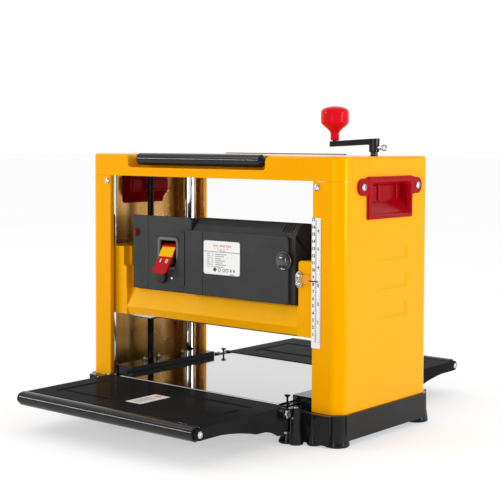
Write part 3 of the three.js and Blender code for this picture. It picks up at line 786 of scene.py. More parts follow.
def bevelled(x, y, bevel):
    """The bevelled corner at x, y, from the front or rear face round to the side, bent twice."""
    slant = FOLD * sqrt(0.5)
    return [
        (x - bevel - FOLD, y), (x - bevel + slant, y - slant),
        (x - slant, y - bevel + slant), (x, y - bevel - FOLD),
    ]


def cover_sheet(name):
    """The right column cover: one folded sheet with a return lip along both free edges."""
    cover = edges("right_cover")
    inner_x, side_x, front = cover.x0, cover.x1, cover.y1
    seam = edges("top_cover").z0 - 0.3
    half = [(inner_x, front - LIP), (inner_x, front)] + bevelled(side_x, front, BEVEL)
    inset = [(inner_x + SHEET, front - LIP), (inner_x + SHEET, front - SHEET)]
    inset += bevelled(side_x - SHEET, front - SHEET, BEVEL - SHEET + 0.8)
    radii_out = [0.3, 1.6] + [FOLD_RADIUS] * 4
    radii_in = [0.3, 0.5] + [FOLD_RADIUS] * 4
    front_out = [(x, -y) for x, y in half]
    front_in = [(x, -y) for x, y in inset]
    points = front_out + half[::-1] + inset + front_in[::-1]
    radii = radii_out + radii_out[::-1] + radii_in + radii_in[::-1]
    shell = prism(name, rounded(points, radii, 3), "z", cover.z0, seam)
    tab = block("tab", side_x - SHEET, side_x, -88, 88, seam - 10, cover.z1)
    handle = edges("right_carry_handle")
    opening = panel(-44.5, 54.5, 318.5, 365.5, 5)
    tools = [prism("hole", opening, "x", handle.x0 - 5, side_x + 5)]
    for middle in LOUVRES:
        wedge = [(side_x + 1, -51), (side_x - 0.1, -51), (side_x - 1.7, 50), (side_x + 1, 54)]
        tools.append(prism("louvre", wedge, "z", middle - 9, middle + 9))
    return soften(cut(join(shell, tab), *tools), 0.35, 2, 50)


def paint_shade_inside(piece, column_x):
    """Gives the faces that look into the column a darker coat of their own: painted shade inside the
    column.
    """
    mesh = piece.data
    mesh.materials.append(LOOKS["inner_coat"])
    for face in mesh.polygons:
        outward = Vector((face.center.x - column_x * MM, face.center.y, 0))
        if face.normal.dot(outward.normalized()) < -0.2 and abs(face.normal.z) < 0.5:
            face.material_index = 1


def top_cap():
    """The pressed top cover, with a trough for a return roller along the front and the rear."""
    cap = edges("top_cover")

    def plan(inset):
        corner = bevelled(cap.x1 - inset, cap.y1 - inset, BEVEL - inset * 0.6)
        points = corner[::-1] + [(-x, y) for x, y in corner]
        points += [(-x, -y) for x, y in corner[::-1]] + [(x, -y) for x, y in corner]
        return rounded(points, FOLD_RADIUS, 3)

    edge = 2.6
    loops = [(plan(0), cap.z0)]
    for k in range(5):
        a = pi / 2 * k / 4
        loops.append((plan(edge * (1 - cos(a))), cap.z1 - edge * (1 - sin(a))))
    shell = stack("top_cap", loops, "z")
    hollow = prism("hollow", plan(SHEET), "z", cap.z0 - 5, cap.z1 - SHEET)
    room = block("room", -PAST_SIDES, PAST_SIDES, -88.3, 88.3, cap.z0 - 1, cap.z1 - SHEET)
    keep = block("keep", -247, 247, -100, 100, cap.z0 - 2, cap.z1 + 5)
    cut(shell, hollow, cut(room, keep))

    floor, left, right = 381, -161.5, 116
    small, large = 5, 9.8
    ends = rounded([
        (left - large, cap.z1 + 6), (left - large, cap.z1), (left, cap.z1), (left, floor),
        (right, floor), (right, cap.z1), (right + large, cap.z1), (right + large, cap.z1 + 6),
    ], [0, 0, large - 0.1, small, small, large - 0.1, 0, 0], 8)
    trays, notches = [], []
    for side in (-1, 1):
        back, front = sorted((side * 89.5, side * (cap.y1 - 0.5)))
        trays.append(block("tray", left - large - 3, right + large + 3, back, front,
                           floor - SHEET, cap.z1 - 0.8))
        notches.append(prism("notch", ends, "y", *sorted((side * 91.5, side * 125))))
    join(shell, *trays)
    shaft = edges("right_lead_screw")
    shaft_hole = hole("z", (shaft.cx, shaft.cy), 8.5, cap.z1 - 6, cap.z1 + 6)
    cut(shell, *notches, shaft_hole)
    shell.name = "top_cap"
    stand_for(soften(shell, 0.5, 2, 40), "top_cover")


def cover_fasteners():
    cover = edges("top_cover")
    for side in ("left", "right"):
        screw = edges(f"cover_screw_{side}")
        head = screw_head("y", (screw.cx, screw.cz), screw.y1, -1, 5, screw.y1 - screw.y0 - 0.1)
        head.name = f"front_cover_screw_{side}"
        stand_for(head, f"cover_screw_{side}")
    rear = [
        screw_head("y", (x, z), cover.y1 - 0.2, 1, 4.5, 2.6)
        for x in (-208.5, 208.5)
        for z in (80, 359)
    ]
    place(merge("rear_cover_screws", rear), "right_cover", "screw_steel")


def covers():
    right = cover_sheet("right_column_cover")
    left = mirrored("left_column_cover", right, "x")
    stand_for(right, "right_cover")
    stand_for(left, "left_cover")
    column = edges("post_front_right").cx
    # painted shade on the inner faces of both column covers
    paint_shade_inside(right, column)
    paint_shade_inside(left, -column)
    top_cap()
    cover_fasteners()


# ---------------------------------------------------------------- return rollers on top
def return_rollers():
    for end in ("front", "rear"):
        node = f"{end}_return_roller"
        roller = edges(node)
        radius, x0, x1 = roller.ry, roller.x0, roller.x1
        piece = turned(f"{end}_top_roller", "x", (roller.cy, roller.cz), [
            (2.4, x0), (2.9, x0 + 0.5), (radius - 0.7, x0 + 6.4), (radius, x0 + 7.6),
            (radius, x1 - 7.6), (radius - 0.7, x1 - 6.4), (2.9, x1 - 0.5), (2.4, x1),
        ], 64)
        stand_for(piece, node)


# ---------------------------------------------------------------- carry handles
GRIP_OPENING = (-42, 52, 321, 363)  # y0, y1, z0, z1, as in the two below
GRIP_FLOOR = (-38, 50, 338, 361)
GRIP_RIM = (-54, 60, 313, 373.5)
EAR_MIDDLE = 4  # the screw ears stand to both sides of this y
EAR_REACH = 70


def handle_shell(name):
    """The right recessed handle: a rim on the cover, and a cup for the fingers."""
    handle = edges("right_carry_handle")
    back, face, rim = handle.x0, edges("right_cover").x1 + 0.3, handle.x1

    def loop(grow, radius, x, share=0.0):
        """Round the opening, or towards the smaller floor of the cup as the share goes to 1."""
        y0, y1, z0, z1 = (a + (b - a) * share for a, b in zip(GRIP_OPENING, GRIP_FLOOR))
        return panel(y0 - grow, y1 + grow, z0 - grow, z1 + grow, radius), x

    shell = stack(name, [
        loop(0.8, 4.5, back, 1.0),
        loop(2.2, 6, back + 1.4, 0.95),
        loop(2.2, 6, face, 0.1),
        *terraces(*GRIP_RIM, [
            (0, 2.5, face), (0, 2.5, rim - 1.4), (0.4, 2.5, rim - 0.4), (1.4, 2.5, rim),
        ]),
        loop(4.4, 5, rim),
        loop(3.2, 5, rim - 0.5),
        loop(0.6, 5, rim - 3.6),
        loop(0.0, 5, rim - 5.0, 0.05),
        loop(-0.4, 5, back + 4.2, 0.9),
        loop(-2.0, 4, back + 2.5, 1.0),
    ], "x")
    ears = []
    for side in (-1, 1):
        middle = EAR_MIDDLE + side * EAR_REACH
        root = EAR_MIDDLE + side * 54
        outline = rounded([
            (root, 345), (middle - side * 6, 347), (middle + side * 12, 347),
            (middle + side * 12, 371), (middle - side * 4, 371), (root, 373),
        ], [0, 6, 11.9, 11.9, 6, 0], 8)
        ears.append(prism("ear", outline, "x", face, face + 3))
    section = [(1, -2.6), (4.4, -2.2), (5.6, 0.8), (5, 1.8), (1, 2.2)]
    ribs = [
        prism("rib", [(back + depth, y + across) for depth, across in section], "z", 338, 360.8)
        for y in (-5, 41)
    ]
    join(shell, *ears, *ribs)
    holes = [
        hole("x", (EAR_MIDDLE + side * EAR_REACH, 359), 2.8, face - 2, face + 9, 20)
        for side in (-1, 1)
    ]
    cut(shell, *holes)
    return soften(shell, 0.6, 2, 38)


def carry_handles():
    right = handle_shell("right_finger_grip")
    left = mirrored("left_finger_grip", right, "x")
    stand_for(right, "right_carry_handle")
    stand_for(left, "left_carry_handle")
    for across, out in (("left", -1), ("right", 1)):
        pockets = []
        back = edges(f"{across}_carry_handle")
        inner = back.x1 if out < 0 else back.x0
        for y0 in (-36, 8):
            pad = terraces(y0, y0 + 36, 340, 360, [
                (0, 3, inner + out * 0.5), (0, 3, inner - out * 0.6), (1.2, 3, inner - out * 1.4),
            ])
            pockets.append(stack("pocket", pad, "x"))
        place(merge(f"{across}_grip_pads", pockets), f"{across}_carry_handle")
        for along in ("front", "rear"):
            node = f"{across}_handle_screw_{along}"
            screw = edges(node)
            outside = screw.x0 if out < 0 else screw.x1
            head = screw_head("x", (screw.cy, screw.cz), outside - out * 2.7, out, 5, 2.6)
            stem_end = screw.x1 if out < 0 else screw.x0
            start, end = sorted((outside - out * 2.6, stem_end))
            stem = rod("stem", "x", (screw.cy, screw.cz), 2.2, start, end, 0.2, 20)
            join(head, stem)
            head.name = f"{across}_grip_screw_{along}"
            stand_for(head, node)


# ---------------------------------------------------------------- crank
def crank():
    knob = edges("crank_knob")
    shaft = edges("right_lead_screw")
    centre = (knob.cx, 0)
    base = knob.z0
    profile = [
        (5.6, 0), (6.5, 0.8), (6.5, 10), (7.0, 12.2), (8.4, 14.4), (12.2, 18.0), (16.6, 21.6),
        (19.3, 24.0), (20.5, 26.0), (21.0, 28.6), (21.0, 40.0), (20.7, 42.6), (19.9, 44.9),
        (18.2, 46.9), (15.0, 48.6), (10.5, 50.0), (5.5, 50.8), (0.4, 51.0),
    ]
    grip = turned("crank_grip", "z", centre, [(r, base + z) for r, z in profile], 72)
    # the knob's red is painted lighter: painted light
    stand_for(grip, "crank_knob", "painted_lit_red_plastic")

    hub = rod("crank_lever", "z", (shaft.cx, 0), 7.6, 407.5, 427, 0.8, 48)
    plan = []
    for end, turn in ((shaft.cx, -pi / 2), (knob.cx, pi / 2)):
        for k in range(17):
            angle = turn + pi * k / 16
            plan.append((end + 8 * cos(angle), 8 * sin(angle)))
    span = shaft.cx - knob.cx

    def lift(x, near_knob, near_shaft):
        return near_knob + (near_shaft - near_knob) * (x - knob.cx) / span

    arm = stack("arm", [
        [(x, y, lift(x, 415.0, 418.5)) for x, y in plan],
        [(x, y, lift(x, 423.1, 427.0)) for x, y in plan],
    ], "z")
    bore = hole("z", (shaft.cx, 0), SCREW_BORE, 400, 412)
    spindle = rod("spindle", "z", centre, 3, 418, 424.2, 0.1, 24)
    lever = cut(join(hub, arm, spindle), bore)
    stand_for(soften(lever, 0.7, 2), "crank_arm")

    wing = edges("crank_wing_screw")
    stem = rod("crank_thumb_screw", "x", (0, wing.cz), 2.9, wing.x0, wing.x0 + 6.5, 0.4, 24)
    ring = [(3.7 + 1.6 * cos(tau * k / 12), 1.6 * sin(tau * k / 12)) for k in range(12)]
    loop = turned("loop", "y", (wing.x1 - 5.4, wing.cz), ring, 40, closed=True)
    stand_for(join(stem, loop), "crank_wing_screw")


# ---------------------------------------------------------------- height scale
def lettering(text, size, x, y, z):
    """Raised figures on a face that looks to the front, centred on x and z."""
    curve = bpy.data.curves.new("figure", "FONT")
    curve.body = text
    curve.size = size * MM
    curve.align_x = "CENTER"
    curve.align_y = "CENTER"
    curve.extrude = 0.05 * MM
    curve.offset = 0.3 * MM
    curve.resolution_u = 2
    figure = add_object("figure", curve)
    bpy.context.view_layer.update()
    graph = bpy.context.evaluated_depsgraph_get()
    mesh = bpy.data.meshes.new_from_object(figure.evaluated_get(graph))
    mesh.transform(Matrix.Translation(Vector((x, y, z)) * MM) @ Matrix.Rotation(pi / 2, 4, "X"))
    bpy.data.objects.remove(figure)
    return add_object("figure", mesh)


def mark(x0, x1, z0, z1, face, height=0.1):
    """A thin raised mark on a face that looks to the front."""
    return block("mark", x0, x1, face - height, face, z0, z1)


SCALE_ZERO = 144  # height of the ruler's zero, in centimetres on the left and inches on the right
INCH = 25.4


def height_scale():
    ruler = edges("height_ruler")
    face = ruler.y0
    plate = terraces(ruler.x0, ruler.x1, ruler.z0, ruler.z1, [
        (0, 1.2, ruler.y1), (0, 1.2, face + 0.3), (0.3, 1.0, face),
    ])
    stand_for(stack("scale_plate", plate, "y"), "height_ruler")
    left, right = 207.2, 216.3
    lines, figures = [], []
    for millimetre in range(171):
        reach = 4.0 if millimetre % 10 == 0 else 3.2 if millimetre % 5 == 0 else 2.4
        z = SCALE_ZERO + millimetre
        lines.append(mark(left, left + reach, z - 0.2, z + 0.2, face))
        if millimetre % 10 == 0 and millimetre:
            figures.append(lettering(str(millimetre // 10), 6.0, 204.1, face, z))
    for eighth in range(54):
        reach = 3.0 if eighth % 8 == 0 else 2.0
        z = SCALE_ZERO + eighth * INCH / 8
        lines.append(mark(right - reach, right, z - 0.2, z + 0.2, face))
        if eighth % 8 == 0 and eighth:
            figures.append(lettering(str(eighth // 8), 5.6, 212.6, face, z + 2.6))
    place(merge("scale_lines", lines), "height_ruler", "ink")
    place(merge("scale_figures", figures), "height_ruler", "ink")


# ---------------------------------------------------------------- carriage
def carriage_casting():
    body = from_node("cast_carriage", "carriage_casting")
    front = edges("carriage_casting")
    face, top = -104, front.z1 + 2
    left, right = -177, 168.5
    crease = 158.5
    slope = [(face, crease), (face - 8, crease), (face - 8, 191), (-93, 191)]
    under = [(face, crease), (face - 8, crease), (face - 8, 140), (-99.2, 140)]
    notch = rounded([(-183, top), (-183, 223), (-176, 223), (-176, top)], [0, 4, 0, 0])
    cut(
        body,
        prism("slope", slope, "x", left + 1, right - 2),
        prism("under", under, "x", left + 1, right - 2),
        block("right_gap", 160, right, face - 6, -60, 188, top),
        block("left_gap", left, -160, face - 6, -91, 188, top),
        block("left_window", left, -160, -92, -56, 222, top),
        prism("left_notch", notch, "y", face - 6, -91.5),
    )
    radius = 5
    for side, edge in ((-1, left), (1, right)):
        outside, inside = edge - side * 2, edge + side * radius
        corner = [(outside, front.z1 - radius), (outside, top), (inside, top)]
        for k in range(9):
            angle = pi / 2 * k / 8
            corner.append((inside - side * radius * sin(angle), front.z1 - radius * (1 - cos(angle))))
        cut(body, prism("corner", corner, "y", -110, -60))
    stand_for(soften(body, 1.0, 2, 40), "carriage_casting")


def dust_wiper():
    """The small plate that hangs under the carriage's left end."""
    wiper = stack("dust_wiper", [
        (panel(-180, -132, -90, -74, 5), 140.2),
        (panel(-184, -128, -92, -72, 7), 141.6),
        (panel(-186, -126, -93, -71, 8), 143.6),
        (panel(-186, -126, -93, -71, 8), 147.2),
    ], "z")
    place(wiper, "carriage_casting", "ground_steel")


def motor_housing():
    """The cowl over the motor, with air slots in its right end and along its top."""
    shell = edges("motor_housing")
    outside = rounded([
        (shell.y0, shell.z0), (shell.y0, 286), (-96, 296), (-88, shell.z1 - 2), (-80, shell.z1),
        (46, 293.5), (shell.y1, 279), (shell.y1, shell.z0),
    ], [0, 6, 12, 4, 8, 9, 9, 0], 5)
    inside = [
        (shell.y0 + 3, shell.z0 - 2), (shell.y0 + 3, 283), (-92, 293), (-85, shell.z1 - 6),
        (-78, shell.z1 - 4), (44, 289), (shell.y1 - 3, 276), (shell.y1 - 3, shell.z0 - 2),
    ]
    body = prism("motor_cowl", outside, "x", shell.x0, shell.x1)
    motor = edges("motor_rotor")
    tools = [
        prism("inside", inside, "x", shell.x0 + 3, shell.x1 - 3),
        hole("x", (motor.cy, 225), 9, shell.x1 - 6, shell.x1 + 4),
    ]
    cut(body, *tools)
    soften(body, 1.6, 3, 50)
    slots = []
    for i in range(7):
        y = -70 + i * 14
        slots.append(block("slot", shell.x1 - 5, shell.x1 + 3, y, y + 5, 262, 290))
    across_top = [(-97, 292), (-87, 302.5), (-92, 310), (-108, 294)]
    for i in range(4):
        x = shell.x1 - 12 - i * 5
        slots.append(prism("slot", across_top, "x", x, x + 2))
    stand_for(cut(body, *slots), "motor_housing")


def switch_box():
    """The box that holds the switch, with a raised guard, the reset collar and one screw."""
    box = edges("switch_box")
    rear_top = 290
    body = prism("switch_case", [
        (box.y0, box.z0), (box.y1, box.z0), (box.y1, rear_top), (box.y0, box.z1),
    ], "x", box.x0, box.x1)
    soften(body, 2.2, 3)
    gland = edges("cable_gland")
    button = edges("reset_button")
    tools = [
        prism("inside", [
            (box.y0 + 3, box.z0 - 2), (box.y1 - 3, box.z0 - 2), (box.y1 - 3, rear_top - 4),
            (box.y0 + 3, box.z1 - 4),
        ], "x", box.x0 + 3, box.x1 - 3),
        prism("well", panel(-101, -67, 229, 269, 4), "y", box.y0 - 2, box.y0 + 6),
        hole("y", (button.cx, button.cz), 4.4, box.y0 - 2, box.y0 + 6, 32),
        hole("y", (gland.cx, gland.cz), 7.2, box.y1 - 6, box.y1 + 2, 32),
        block("fold", -128.9, -128.3, box.y0 - 1, box.y0 + 0.7, box.z0 - 1, box.z1 + 1),
    ]
    stand_for(cut(body, *tools), "switch_box")
    guard = rounded([
        (-57, 283), (-62, 250), (-70, 222), (-69, 205), (-57, 200.5), (-48, 200.5), (-48, 283),
    ], [2, 12, 10, 6, 6, 1, 1], 6)
    rib = soften(prism("switch_guard", guard, "y", box.y0 - 4, box.y0 + 0.5), 1.4, 3)
    place(rib, "switch_box")
    ring = [(4.6, 0.4), (7.2, 0.4), (7.2, -0.6), (6.4, -1.4), (5.2, -1.4), (4.6, -0.8)]
    collar = turned("button_collar", "y", (button.cx, button.cz),
                    [(r, box.y0 + w) for r, w in ring], 40, closed=True)
    place(collar, "switch_box", "black_rubber")
    screw = screw_head("y", (-77.7, 210.9), box.y0 + 0.2, -1, 2.6, 1.4)
    screw.name = "switch_screw"
    place(screw, "switch_box", "screw_steel")


def front_panel():
    """The flat cover beside the switch, with pale strips along two edges that are painted highlights."""
    box = edges("front_panel")
    outline = rounded([
        (box.x0, box.z0), (box.x1, box.z0), (box.x1, box.z1), (box.x0, box.z1),
    ], [1, 2, 5, 2], 6)
    plate = prism("cover_panel", outline, "y", box.y0, box.y1)
    soften(plate, 1.3, 3, 50)
    cut(plate, block("fold", -10.1, -9.3, box.y0 - 1, box.y0 + 0.8, box.z0 - 1, box.z1 + 1))
    stand_for(plate, "front_panel")
    # pale strips along the top and the right edge: painted highlights
    y, z = box.y0, box.z1
    top = prism("edge", [(y - 0.1, z - 1.2), (y + 1.2, z + 0.1), (y + 1.2, z - 1.2)],
                "x", box.x0 + 1.5, box.x1 - 5)
    x, z = box.x1, box.z0
    side = prism("edge", [(x - 1, y - 0.1), (x + 0.1, y + 1), (x - 1, y + 1)],
                 "z", z + 3, box.z1 - 6)
    place(merge("panel_painted_highlights", [top, side]), "front_panel", "painted_highlight_plastic")


def brush_cap():
    cap = edges("brush_cap")
    profile = [
        (13.8, 0.0), (13.8, -1.2), (12.4, -1.8), (11.4, -1.6), (11.2, -2.6), (10.4, -4.2),
        (8.4, -5.8), (5.4, -6.7), (2.4, -7.0), (0.3, -7.0),
    ]
    dome = turned("brush_cover", "y", (cap.cx, cap.cz), [(r, cap.y1 + w) for r, w in profile], 64)
    stand_for(dome, "brush_cap", "gloss_plastic")


def switch_frame():
    plate = edges("switch_frame")
    x0, x1, z0, z1 = plate.x0, plate.x1, plate.z0 + 15, plate.z1
    back, out = plate.y1, plate.y0
    bezel = terraces(x0, x1, z0, z1, [
        (0, 7, back), (0, 7, out + 1), (1, 6, out), (3.6, 4, out), (5, 3, out + 1.4), (5, 3, back),
    ])
    # the bezel is painted a lighter grey: painted light against the shade of its recess
    stand_for(stack("switch_bezel", bezel, "y", closed=True), "switch_frame", "painted_highlight_plastic")


def switch_paddle():
    """The red paddle that hangs over the switch, on a black rocker with a yellow cap."""
    toggle = edges("switch_toggle")
    x0, x1 = toggle.x0, toggle.x1
    flap = rounded([
        (-101.0, 262.0), (-110.8, 244.6), (-112, 243), (-127, 220.5), (-124.2, 218.2), (-109.5, 240),
        (-107.5, 243.5), (-98.5, 259.5),
    ], [1, 0.5, 1, 1.2, 1.2, 2, 2, 1], 4)
    paddle = prism("switch_paddle", flap, "x", x0, x1)
    corners = []
    for edge, inner in ((x0, x0 + 5), (x1, x1 - 5)):
        outside = edge - (inner - edge)
        round_off = rounded([(inner, 219), (edge, 219), (edge, 225)], [0, 4.9, 0], 6)
        corners.append(prism("corner", [(outside, 225), (outside, 215), (inner, 215)] + round_off,
                             "y", -135, -117))
    paddle = soften(cut(paddle, *corners), 0.6, 2, 40)
    stand_for(paddle, "switch_toggle", "switch_plastic")
    body = rounded([
        (-99.2, 258), (-109, 241.5), (-104, 230), (-97, 232), (-92, 240), (-92, 258),
    ], [1, 1, 4, 3, 3, 3], 4)
    rocker = soften(prism("switch_rocker", body, "x", x0 + 2.5, x1 - 2.5), 0.8, 2, 40)
    place(rocker, "switch_toggle", "black_rubber")
    upper = rounded([
        (-103.4, 259.2), (-107.9, 252.4), (-112.1, 244.6), (-110.6, 243.6), (-101.6, 258.6),
    ], [0.3, 20, 0.3, 0.3, 0.3], 5)
    cap = soften(prism("switch_cap", upper, "x", x0 + 0.4, x1 - 0.4), 0.3, 2, 50)
    place(cap, "switch_toggle", "switch_yellow")
    lip = rounded([
        (-99.6, 263.6), (-104.8, 260.4), (-104.0, 258.6), (-98.0, 258.6),
    ], [0.4, 0.8, 0.3, 0.3], 4)
    brow = soften(prism("switch_brow", lip, "x", x0 + 0.2, x1 - 0.2), 0.3, 2, 50)
    place(brow, "switch_toggle", "switch_plastic")


def switch_knob():
    plate = edges("switch_frame")
    back, out = plate.y1, plate.y0
    knob = turned("switch_knob", "y", (-98, 212.5), [
        (11, back), (11, out - 1.2), (10.2, out - 2.2), (8.0, out - 2.9), (0.3, out - 3.2),
    ], 48)
    place(knob, "switch_frame", "black_rubber")


def switch_marks():
    """The white marks on the paddle's sloping face."""
    top = Vector((-112, 243))
    down = Vector((-15.0, -22.5)).normalized()
    raised = Vector((down.y, -down.x)) * 0.3

    def stroke(x, width, first, last):
        """A line on the paddle's face, between two places down the slope."""
        start, end = top + down * first, top + down * last
        corners = (start - raised, end - raised, end + raised, start + raised)
        return prism("stroke", [tuple(corner) for corner in corners], "x", x, x + width)

    marks = [stroke(*place_and_size) for place_and_size in (
        (-92, 2.2, 3, 9), (-80.5, 1.4, 3, 9), (-77.3, 1.4, 3, 9),
        (-80.5, 4.6, 2.6, 3.8), (-80.5, 4.6, 8.2, 9.4),
    )]
    place(merge("switch_marks", marks), "switch_toggle", "white_ink")


def reset_button():
    button = edges("reset_button")
    face = button.y0
    profile = [(3.9, button.y1), (3.9, face + 1.6), (3.5, face + 0.6), (2.4, face + 0.1), (0.3, face)]
    stand_for(turned("reset_cap", "y", (button.cx, button.cz), profile, 40), "reset_button")


def rating_plate():
    label = edges("rating_label")
    x0, x1, z0, z1 = label.x0, label.x1, label.z0, label.z1
    face = label.y0
    plate = terraces(x0, x1, z0, z1, [(0, 3.5, label.y1), (0, 3.5, face + 0.2), (0.2, 3.3, face)])
    stand_for(stack("data_plate", plate, "y"), "rating_label")
    heading, faint, dark = [], [], []
    for i, width in enumerate((5.4, 3.4, 6.2, 4.6, 5.8, 3.0)):
        x = 12 + i * 6.6
        heading.append(mark(x, x + width, 265.6, 268.4, face))
    for i in range(5):
        heading.append(mark(15 + i * 6, 17.2 + i * 6, 261.6, 263.2, face))
    dark.append(mark(x0 + 0.4, x1 - 0.4, 257.4, 258.1, face))
    faint.append(mark(24, 37, 259.2, 260.2, face))
    for row in range(7):
        z = 253.6 - row * 3.1
        faint.append(mark(0.5, 5.5 + row % 3, z, z + 1.0, face))
        faint.append(mark(9.5, 12.5 - row % 2, z, z + 1.0, face))
        faint.append(mark(16.5, 39 - (row * 5) % 12, z, z + 1.0, face))
    diamond = [(12, 231), (16, 227.5), (20, 231.5), (16, 235)]
    dark.append(prism("mark", diamond, "y", face - 0.1, face))
    ring = [(2.7, face), (2.7, face - 0.1), (1.9, face - 0.1), (1.9, face)]
    for x in (25, 34, 40):
        dark.append(turned("mark", "y", (x, 231), ring, 24, closed=True))
    for x in (46, 52):
        faint.append(mark(x, x + 3, 229, 233, face))
    dark.append(mark(46, 53, 224.6, 225.6, face))
    place(merge("plate_heading", heading), "rating_label", "red_ink")
    place(merge("plate_rows", faint), "rating_label", "pale_ink")
    place(merge("plate_marks", dark), "rating_label", "ink")


def pointer():
    plate = from_node("scale_pointer", "depth_pointer")
    stand_for(soften(plate, 0.3, 2, 40), "depth_pointer")
    screw = edges("pointer_screw")
    heads = []
    for x, z in ((171, screw.cz + 4.9), (171, screw.cz - 6.5)):
        heads.append(turned("washer", "y", (x, z), [
            (5.6, screw.y1), (5.6, screw.y1 - 0.9), (5.2, screw.y1 - 1.2), (0.3, screw.y1 - 1.2),
        ], 32))
        heads.append(screw_head("y", (x, z), screw.y1 - 1.1, -1, 4.4, 3.4))
    pair = merge("pointer_screws", heads)
    stand_for(pair, "pointer_screw")
    front = edges("depth_pointer").y0
    needle = block("needle", 197.5, 213, front - 0.3, front + 0.2, screw.cz - 0.8, screw.cz + 0.8)
    needle.name = "pointer_line"
    place(needle, "depth_pointer", "black_rubber")


BELT_START = 169.6  # x of the belt's first rib, on both pulleys


def pulley_ribs(radius):
    """The profile of the four grooves that hold the ribbed belt."""
    profile = []
    for i in range(4):
        x = BELT_START + i * 2.6
        profile += [(radius, x), (radius, x + 1.0), (radius - 1.2, x + 1.5), (radius - 1.2, x + 2.0)]
    return profile


def motor_and_drive():
    body = edges("motor_body")
    radius = body.rz
    centre = (body.cy, body.cz)
    profile = [(radius - 6, body.x0), (radius - 2, body.x0 + 2)]
    for i in range(12):
        x = body.x0 + 12 + i * 9
        profile += [(radius - 2, x), (radius, x + 0.8), (radius, x + 4.2), (radius - 2, x + 5)]
    profile += [(radius - 2, body.x1 - 2), (radius - 6, body.x1), (5.4, body.x1), (5.4, body.x0)]
    can = turned("motor_can", "x", centre, profile, 64, closed=True)
    stand_for(can, "motor_body")

    rotor = edges("motor_rotor")
    profile = [(5, rotor.x0), (5, BELT_START - 0.6)] + pulley_ribs(13.6)
    profile += [(13.6, rotor.x1 - 0.2), (0.4, rotor.x1)]
    stand_for(turned("motor_shaft", "x", centre, profile, 64), "motor_rotor")
    belt = soften(from_node("rib_belt", "drive_belt"), 0.3, 2, 50)
    stand_for(belt, "drive_belt")


def chip_chute():
    chute = soften(from_node("chip_hood", "chip_chute"), 0.8, 2, 28)
    stand_for(chute, "chip_chute")


def cable_gland():
    """The ribbed sleeve on the back of the switch box, where the cord goes in."""
    gland = edges("cable_gland")
    face = edges("switch_box").y1 + 0.3
    profile = [
        (6.9, gland.y0), (6.9, face), (10, face), (10, face + 5.4), (9.4, face + 6), (6.6, face + 8),
    ]
    for i in range(5):
        y = face + 9 + i * 3
        rib, groove = 6.4 - i * 0.25, 5.4 - i * 0.2
        profile += [(rib, y), (rib, y + 1.6), (groove, y + 1.9), (groove, y + 2.8)]
    profile += [
        (5, gland.y1 - 0.6), (4.4, gland.y1), (3.2, gland.y1), (3.2, gland.y1 - 6), (0.3, gland.y1 - 6),
    ]
    sleeve = turned("cord_sleeve", "y", (gland.cx, gland.cz), profile, 40)
    stand_for(sleeve, "cable_gland")


# ---------------------------------------------------------------- cutterhead and feed rollers
SLEEVE_END = 160  # the rubber sleeves end this far from the middle


def cutter():
    drum = edges("cutterhead")
    centre = (0, drum.cz)
    profile = [
        (9.4, drum.x0), (10, drum.x0 + 0.6), (10, -160), (12, -160), (12, -158.4), (21, -158),
        (22, -157), (22, 157), (21, 158), (12, 158.4), (12, 160), (10, 160), (10, BELT_START - 0.6),
    ]
    profile += pulley_ribs(17.6) + [(17.6, drum.x1 - 0.3), (0.4, drum.x1)]
    body = turned("cutter_drum", "x", centre, profile, 96)
    slots = []
    for side in (-1, 1):
        y0, y1 = sorted((side * -2.4, side * 6.5))
        z0, z1 = sorted((drum.cz + side * 15, drum.cz + side * 24))
        slots.append(block("slot", -161, 161, y0, y1, z0, z1))
    stand_for(cut(body, *slots), "cutterhead", "ground_steel")
    for name, side in (("knife_a", 1), ("knife_b", -1)):
        knife = edges(name)
        root, tip = (knife.z0, knife.z1) if side > 0 else (knife.z1, knife.z0)
        thick = 2 * side
        outline = [(-thick, root), (thick, root), (thick, tip - side * 4.5), (-thick, tip)]
        stand_for(prism(f"{name}_blade", outline, "x", knife.x0, knife.x1), name)


def feed_rollers():
    for end in ("infeed", "outfeed"):
        node = f"{end}_feed_roller"
        roller = edges(node)
        radius = roller.rz
        centre = (roller.cy, roller.cz)
        sleeve = [
            (7.4, -SLEEVE_END), (radius - 1, -SLEEVE_END), (radius, 1 - SLEEVE_END),
            (radius, SLEEVE_END - 1), (radius - 1, SLEEVE_END), (7.4, SLEEVE_END),
        ]
        stand_for(turned(f"{end}_rubber_sleeve", "x", centre, sleeve, 72, closed=True), node)
        shaft = rod(f"{end}_roller_shaft", "x", centre, 7, roller.x0, roller.x1, 1, 40)
        place(shaft, node, "screw_steel")


# ---------------------------------------------------------------- extension tables
def skirt_outline(table):
    """The infeed table's side: deep at the hinge, shallow under the outer roller."""
    roller = edges("infeed_end_roller")
    points = [(-table.inner, table.top), (roller.cy, table.top)]
    for k in range(1, 13):
        angle = pi / 2 + pi * k / 12
        points.append((roller.cy + 8 * cos(angle), roller.cz + 8 * sin(angle)))
    for start, control, end in (
        ((-278, 37.7), (-240, 34.5), (-206, 25.3)),
        ((-186, 24.5), (-171, 22), (-158, 14)),
    ):
        for k in range(9):
            t = k / 8
            points.append(tuple(
                (1 - t) ** 2 * a + 2 * t * (1 - t) * b + t * t * c
                for a, b, c in zip(start, control, end)
            ))
    return points + [(-150, 14), (-141.5, 40)]


